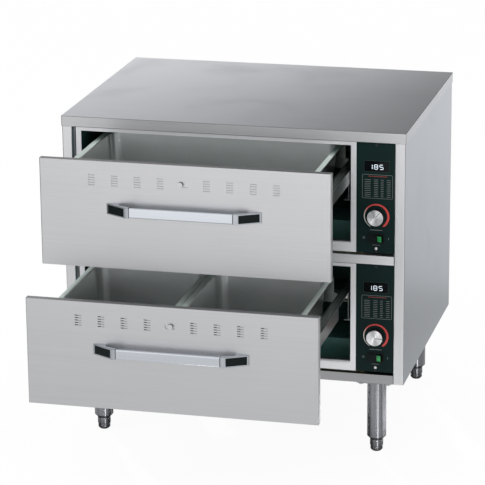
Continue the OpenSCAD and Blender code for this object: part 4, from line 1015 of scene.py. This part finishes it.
# %% Table
TABLE_W, TABLE_H, TABLE_Z = 65 * MM, 52 * MM, 151.5 * MM
TABLE_SHIFT, ROWS_H = 2 * MM, 36 * MM
TABLE_COLUMNS = ((-21, 13, 10), (-3, 9, 10), (10, 6, 10), (24, 8, 9))  # middle, length, rows
print("dashes in a table:", sum(rows for _, _, rows in TABLE_COLUMNS))


def frame_outline(width, height, radius, line, at):
    """A rounded rectangular outline, flat in the XZ plane and INK thick."""
    shape = bmesh.new()
    loops = []
    for wider, y in ((0, 0), (0, -INK), (-line, -INK), (-line, 0)):
        flat = bmesh.new()
        loop = rounded_loop(flat, (0, 0), width + 2 * wider, height + 2 * wider, radius + wider, 0)
        loops.append([shape.verts.new((v.co.x, y, v.co.y)) for v in loop])
        flat.free()
    skin(shape, [*loops, loops[0]])
    return moved(close(shape), at)


def table_print(which):
    middle = Vector((controls_x(which) + TABLE_SHIFT, panel_face(which),
                     bay_floor(which) + TABLE_Z))
    print_piece("table_frame", which, frame_outline(TABLE_W, TABLE_H, 3 * MM, 0.7 * MM, middle),
                GREY_PRINT)
    heading = ink_bar(40 * MM, 1.6 * MM, middle + Vector((1 * MM, -INK / 2, TABLE_H / 2 - 4 * MM)))
    print_piece("table_heading", which, heading, RED_PRINT)
    for number, (x, length, rows) in enumerate(TABLE_COLUMNS):
        grow(f"{which}_table_column_{number}", COLUMN_TREE, ink_bar(length * MM, 0.9 * MM),
             middle + Vector((x * MM, -INK / 2, -3.5 * MM)), GREY_PRINT, "cabinet", "panel_paint",
             Rows=rows, Height=ROWS_H)


# %% Digits
# Each digit is seven bars; a bar is lit or left out.
SEGMENTS = {"a": (0, 1, 0), "b": (0.5, 0.5, 1), "c": (0.5, -0.5, 1), "d": (0, -1, 0),
            "e": (-0.5, -0.5, 1), "f": (-0.5, 0.5, 1), "g": (0, 0, 0)}
LIT = {"1": "bc", "5": "afgcd", "8": "abcdefg"}
DIGIT_W, DIGIT_H, DIGIT_GAP, DIGIT_LINE = 7.0 * MM, 9.6 * MM, 4.6 * MM, 1.3 * MM
DIGITS_ASIDE = 1 * MM


def digit_shape(text, middle):
    upright_bar = (DIGIT_LINE, INK, DIGIT_H / 2 - 1.1 * MM)
    level_bar = (DIGIT_W - DIGIT_LINE, INK, DIGIT_LINE)
    bars = []
    for place, sign in enumerate(text):
        x0 = (place - (len(text) - 1) / 2) * (DIGIT_W + DIGIT_GAP)
        for name in LIT[sign]:
            x, z, upright = SEGMENTS[name]
            at = middle + Vector((x0 + x * DIGIT_W, -INK / 2, z * DIGIT_H / 2))
            bars.append(block(upright_bar if upright else level_bar, 0, at))
    return join_shapes(bars)


def display_digits(which):
    low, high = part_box(which + "_display")
    middle = (low + high) / 2
    at = Vector((middle.x - DIGITS_ASIDE, low.y, middle.z - DIGITS_ASIDE))
    obj = piece_from_bmesh(which + "_display_digits", digit_shape("185", at))
    finish_piece(obj, "cabinet", LIT_DIGITS, "display_window")
    rim = frame_outline(high.x - low.x + 2 * MM, high.z - low.z + 2 * MM, 1.6 * MM, 0.5 * MM,
                        Vector((middle.x, panel_face(which), middle.z)))
    print_piece("display_outline", which, rim, DARK_PRINT)


# %% Marks by the switch
def switch_marks(which):
    low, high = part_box(which + "_switch_housing")
    x, y, z = controls_x(which), panel_face(which), (low.z + high.z) / 2
    ink_y = y - INK / 2
    marks = [frame_outline(5 * MM, 5 * MM, 2.49 * MM, 0.8 * MM, Vector((low.x - 8 * MM, y, z))),
             ink_bar(1 * MM, 5 * MM, (high.x + 8 * MM, ink_y, z)),
             ink_bar(16 * MM, 0.8 * MM, (x, ink_y, low.z - 4 * MM)),
             ink_bar(26 * MM, 1.2 * MM, (x, ink_y, joint_at(which + "_knob_turn").z - 30 * MM))]
    print_piece("switch_marks", which, join_shapes(marks), GREY_PRINT)


for which in BAYS:
    for step in (dial_arc, dial_ticks, table_print, display_digits, switch_marks):
        step(which)
print("panels printed")

# %% [markdown]
# ## Lens in the switch
# The right half of the rocker is a green lens that glows when the switch is on. It follows the
# rocker, so it rides on the rocker's body and lies on that half's slope.

# %% Rocker lens
ROCKER_TILT, ROCKER_SLOPE = math.radians(-8), math.atan2(2.6, 13.2)
LENS_SIZE, LENS_AT = mm(9.2, 1.4, 12.4), mm(9.0, -7.9, 0)


def rocker_lens(which):
    node = which + "_rocker"
    shape = moved(turned(block(LENS_SIZE, 0.65 * MM), -ROCKER_SLOPE, "Z"), LENS_AT)
    shape = moved(turned(shape, ROCKER_TILT, "Z"), joint_at(which + "_rocker_tilt"))
    return finish_piece(piece_from_bmesh(node + "_lens", shape), BODY_OF[node], GREEN_LENS,
                        SLOT_OF[node])


for which in BAYS:
    rocker_lens(which)
print("lenses made")

# %% [markdown]
# ## Fasteners, lamps and louvres
# Screw heads have a cross that the driver fits; the CAD solid has only the head. The crosses are
# one stamp copied to the places of the heads. Each louvre at the back is a lip pressed outwards
# over its slot, so that rising warm air leaves and nothing falls in. A pilot lamp is a small clear
# dome in a black bezel.

# %% Crosses in the screw heads
BACK_HEADS, PANEL_HEADS = (0.285, 0.3), (-0.3, -0.285)


def islands_of(shape):
    """The places of the corners of each loose part."""
    seen = set()
    for start in shape.verts:
        island, waiting = [], [] if start in seen else [start]
        seen.add(start)
        while waiting:
            vert = waiting.pop()
            island.append(vert.co.copy())
            others = {edge.other_vert(vert) for edge in vert.link_edges} - seen
            seen |= others
            waiting.extend(others)
        if island:
            yield island


def head_places(first, last):
    """The outermost point of each screw head that lies between two values of y."""
    shape = merged_copy("cabinet_screws")
    places = []
    for island in islands_of(shape):
        spans = spans_of(island)
        y = spans[1][0] if spans[1][0] < 0 else spans[1][1]
        if first < y < last:
            places.append((sum(spans[0]) / 2, y, sum(spans[2]) / 2))
    shape.free()
    return places


def crosses(name, places, length, width, sink):
    points = bpy.data.meshes.new(name + "_points")
    points.from_pydata(places, [], [])
    cross = join_shapes([block(mm(width, sink, length)), block(mm(length, sink, width))])
    return grow(name, POINTS_TREE, cross, Vector(), BLACK_PLASTIC, "cabinet",
                SLOT_OF["cabinet_screws"], points)


crosses("back_screw_crosses", head_places(*BACK_HEADS), 4.4, 0.9, 0.5)
crosses("panel_screw_crosses", head_places(*PANEL_HEADS), 2.6, 0.6, 0.3)
print("crosses made")

# %% Louvres
LOUVRES, LOUVRE_STEP, LOUVRE_FROM, LOUVRE_X = 6, 12 * MM, 111.5 * MM, 322 * MM
LIP_WIDTH, LIP_HEIGHT, LIP_OUT, LIP_EDGE = 52 * MM, 6.5 * MM, 3.5 * MM, 0.8 * MM


def louvre_lip():
    """A lip with a quarter-round top and closed ends, seen from the back."""
    shape = bmesh.new()
    outline = [(0, LIP_HEIGHT), *((LIP_OUT * math.sin(a), (LIP_HEIGHT - LIP_EDGE) * math.cos(a))
                                  for a in arc_steps(6)), (0, 0)]
    left, right = ([shape.verts.new((x, y, z)) for y, z in outline]
                   for x in (-LIP_WIDTH / 2, LIP_WIDTH / 2))
    for k in range(len(outline) - 1):
        shape.faces.new((left[k], left[k + 1], right[k + 1], right[k]))
    return close(shape, left, right)


def louvres(which):
    height = LOUVRE_STEP * (LOUVRES - 1)
    middle = Vector((LOUVRE_X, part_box("back_panel")[1].y - 0.1 * MM,
                     bay_floor(which) + LOUVRE_FROM + height / 2))
    return grow(which + "_louvres", COLUMN_TREE, louvre_lip(), middle, BACK_STEEL, "cabinet",
                SLOT_OF["back_panel"], Rows=LOUVRES, Height=height)


# %% Pilot lamps' bezels
LAMP_Z = 16.5 * MM


def lamp_bezel(which):
    ring = lathe([(2.9, 0), (4.7, 0), (4.6, 1.7), (4.2, 2.1), (3.4, 2.1), (2.9, 1.5), (2.9, 0)], 48)
    centre = Vector((controls_x(which), panel_face(which), bay_floor(which) + LAMP_Z))
    obj = piece_from_bmesh(which + "_lamp_bezel", moved(ring, centre))
    return finish_piece(obj, "cabinet", BLACK_PLASTIC, SLOT_OF["pilot_lamps"])


for which in BAYS:
    louvres(which)
    lamp_bezel(which)
print("small parts made")

# %% [markdown]
# ## Stage
# A plain pale floor and a white surrounding, as in a product picture. The floor takes the object's
# soft shadow. What the camera, a reflection or a clear material sees of the surroundings is white;
# the light on the object comes from the world and from two large soft lamps.

# %% What a camera, a mirror or a lens sees
WHITE = (1, 1, 1, 1)


def seen_by_eye(tree):
    rays = add(tree, "ShaderNodeLightPath").outputs
    eye = maths(tree, "MAXIMUM", rays["Is Camera Ray"], rays["Is Transmission Ray"])
    return maths(tree, "MAXIMUM", eye, rays["Is Glossy Ray"])


def mix_shaders(tree, factor, first, second):
    return add(tree, "ShaderNodeMixShader", _0=factor, _1=first, _2=second).outputs[0]


def glow(tree, strength, kind="ShaderNodeEmission"):
    return add(tree, kind, Color=WHITE, Strength=strength).outputs[0]


# %% Brightness of the floor
# In a reflection the floor is grey: darker to the right of the cabinet, where the side panel looks,
# light far in front, where the drawers look, and nearly black in the shade under the cabinet.
FLOOR_WHITENESS = 0.94
UNDER_CABINET = 0.05


# %% The floor as metal mirrors it
def between(tree, value, low, high, soft):
    """1 where value lies between low and high, falling to 0 over the width soft."""
    return maths(tree, "MULTIPLY", spread(tree, value, 0, 1, low - soft, low),
                 spread(tree, value, 0, 1, high + soft, high))


def blend(tree, factor, low, high):
    return add(tree, "ShaderNodeMix", {"data_type": "FLOAT"}, _0=factor, _2=low,
               _3=high).outputs[0]


def floor_in_metal(tree):
    place = add(tree, "ShaderNodeSeparateXYZ", Vector=object_place(tree)).outputs
    x, y = place["X"], place["Y"]
    front = spread(tree, y, 0.68, 1.12, -1.9, -2.6)
    side = spread(tree, y, 0.4, 0.52, 0.0, 4.0)
    right = maths(tree, "MULTIPLY", between(tree, x, 0.55, 9.0, 0.14),
                  between(tree, y, -0.5, 9.0, 0.3))
    under = maths(tree, "MULTIPLY", between(tree, x, -0.34, 0.34, 0.08),
                  between(tree, y, -0.27, 0.27, 0.12))
    return blend(tree, under, blend(tree, right, front, side), UNDER_CABINET)


# %% Floor
def make_floor():
    shape = bmesh.new()
    bmesh.ops.create_grid(shape, x_segments=1, y_segments=1, size=14)
    obj = piece_from_bmesh("floor", shape)
    material, tree, shader = start_material("pale_floor", Base_Color=(0.9, 0.9, 0.9, 1),
                                            Roughness=0.9)
    share = maths(tree, "MULTIPLY", seen_by_eye(tree), FLOOR_WHITENESS)
    plain = mix_shaders(tree, share, shader.outputs[0], glow(tree, 1.0))
    glossy = add(tree, "ShaderNodeLightPath").outputs["Is Glossy Ray"]
    mix = mix_shaders(tree, glossy, plain, glow(tree, floor_in_metal(tree)))
    give(tree, tree.nodes["Material Output"], Surface=mix)
    obj.data.materials.append(material)
    return obj


floor = make_floor()
print("floor", tuple(floor.dimensions))

# %% [markdown]
# A photographer gives bare metal its shape with cards. A sheet behind the cabinet, bright at the
# lower left and grey at the upper right, is what the cover mirrors, so the cover falls from light
# to dark across its width. A dark flag at each side darkens the rounded edges, and a grey card
# beside the cabinet is what the right side mirrors. A small card by the camera lights the spun
# knobs, and a thin wedge on the floor before each leg draws the bright line down it.
# Only reflections see the cards; the camera, the shadows and the soft light don't.

# %% Cards
def make_card(name, corners, level, slope=None, low=0.0, high=10.0):
    """A sheet that glows by level, plus slope times the place, held between low and high."""
    shape = bmesh.new()
    shape.faces.new([shape.verts.new(corner) for corner in corners])
    obj = piece_from_bmesh("card_" + name, shape)
    material, tree, _ = start_material("card_tone_" + name, Roughness=0.9)
    if slope:
        tone = maths(tree, "ADD", vectors(tree, "DOT_PRODUCT", object_place(tree), slope), level)
        level = add(tree, "ShaderNodeClamp", Value=tone, Min=low, Max=high).outputs[0]
    give(tree, tree.nodes["Material Output"], Surface=glow(tree, level))
    obj.data.materials.append(material)
    for ray in ("camera", "diffuse", "shadow", "transmission", "volume_scatter"):
        setattr(obj, "visible_" + ray, False)
    return obj


def upright_card(name, left, right, top, level, **more):
    corners = [(*left, 0.0), (*right, 0.0), (*right, top), (*left, top)]
    return make_card(name, corners, level, **more)


upright_card("behind", (-2.5, 1.0), (2.5, 1.0), 2.4, 4.69, slope=(-1.6, 0, -4.2), low=0.15,
             high=1.15)
upright_card("left_flag", (-1.5, -1.5), (-1.5, 0.8), 1.5, 0.04)
upright_card("right_flag", (1.7, -1.0), (1.7, 0.8), 1.5, 0.2)
upright_card("beside", (0.42, 0.9), (1.4, 0.9), 0.62, 0.69, slope=(0, 0, 0.5), low=0.3)
make_card("by_camera", [(0.64, -4.15, 0.56), (0.55, -4.15, 0.63), (1.12, -4.15, 1.33),
                        (1.21, -4.15, 1.26)], 24.0)
print("cards made")

# %% Wedges on the floor before the legs
CAMERA_GROUND = (1.35, -5.55)
WEDGE_ASIDE, WEDGE_HALF_ANGLE = math.radians(14.4), math.radians(3.5)
WEDGE_FROM, WEDGE_TO, WEDGE_RISE, WEDGE_LEVEL = 0.03, 0.55, 0.002, 4.6


def leg_line(corner):
    """A thin wedge that starts at a leg; the leg mirrors it as one bright line."""
    low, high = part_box(corner + "_foot")
    x, y = (low.x + high.x) / 2, (low.y + high.y) / 2
    ahead = math.atan2(CAMERA_GROUND[0] - x, y - CAMERA_GROUND[1]) + WEDGE_ASIDE
    corners = []
    for distance, side in ((WEDGE_FROM, -1), (WEDGE_TO, -1), (WEDGE_TO, 1), (WEDGE_FROM, 1)):
        turn = ahead + side * WEDGE_HALF_ANGLE
        corners.append((x + distance * math.sin(turn), y - distance * math.cos(turn), WEDGE_RISE))
    return make_card("leg_line_" + corner, corners, WEDGE_LEVEL)


for corner in CORNERS:
    leg_line(corner)
print("wedges made")


# %% World
def make_world():
    world = bpy.data.worlds.new("studio")
    bpy.context.scene.world = world
    world.use_nodes = True
    tree = world.node_tree
    tree.nodes.clear()
    direction = add(tree, "ShaderNodeTexCoord").outputs["Generated"]
    height = add(tree, "ShaderNodeSeparateXYZ", Vector=direction).outputs["Z"]
    soft = glow(tree, spread(tree, height, 0.55, 1.0, -0.2, 0.8), "ShaderNodeBackground")
    mix = mix_shaders(tree, seen_by_eye(tree), soft, glow(tree, 1.0, "ShaderNodeBackground"))
    give(tree, tree.nodes.new("ShaderNodeOutputWorld"), Surface=mix)


make_world()
print("world:", bpy.context.scene.world.name)


# %% Lamps
def lamp(name, place, size, power, target=(0, -0.2, 0.4)):
    data = bpy.data.lights.new(name, "AREA")
    data.size = size
    data.energy = power
    obj = new_object(name, data)
    obj.location = place
    obj.rotation_euler = (Vector(target) - Vector(place)).to_track_quat("-Z", "Y").to_euler()
    obj.visible_glossy = False
    return obj


lamp("key", (-2.2, -2.6, 3.2), 2.4, 60)
lamp("fill", (2.8, -2.0, 1.6), 2.0, 22)
bpy.context.scene.view_settings.view_transform = "Standard"
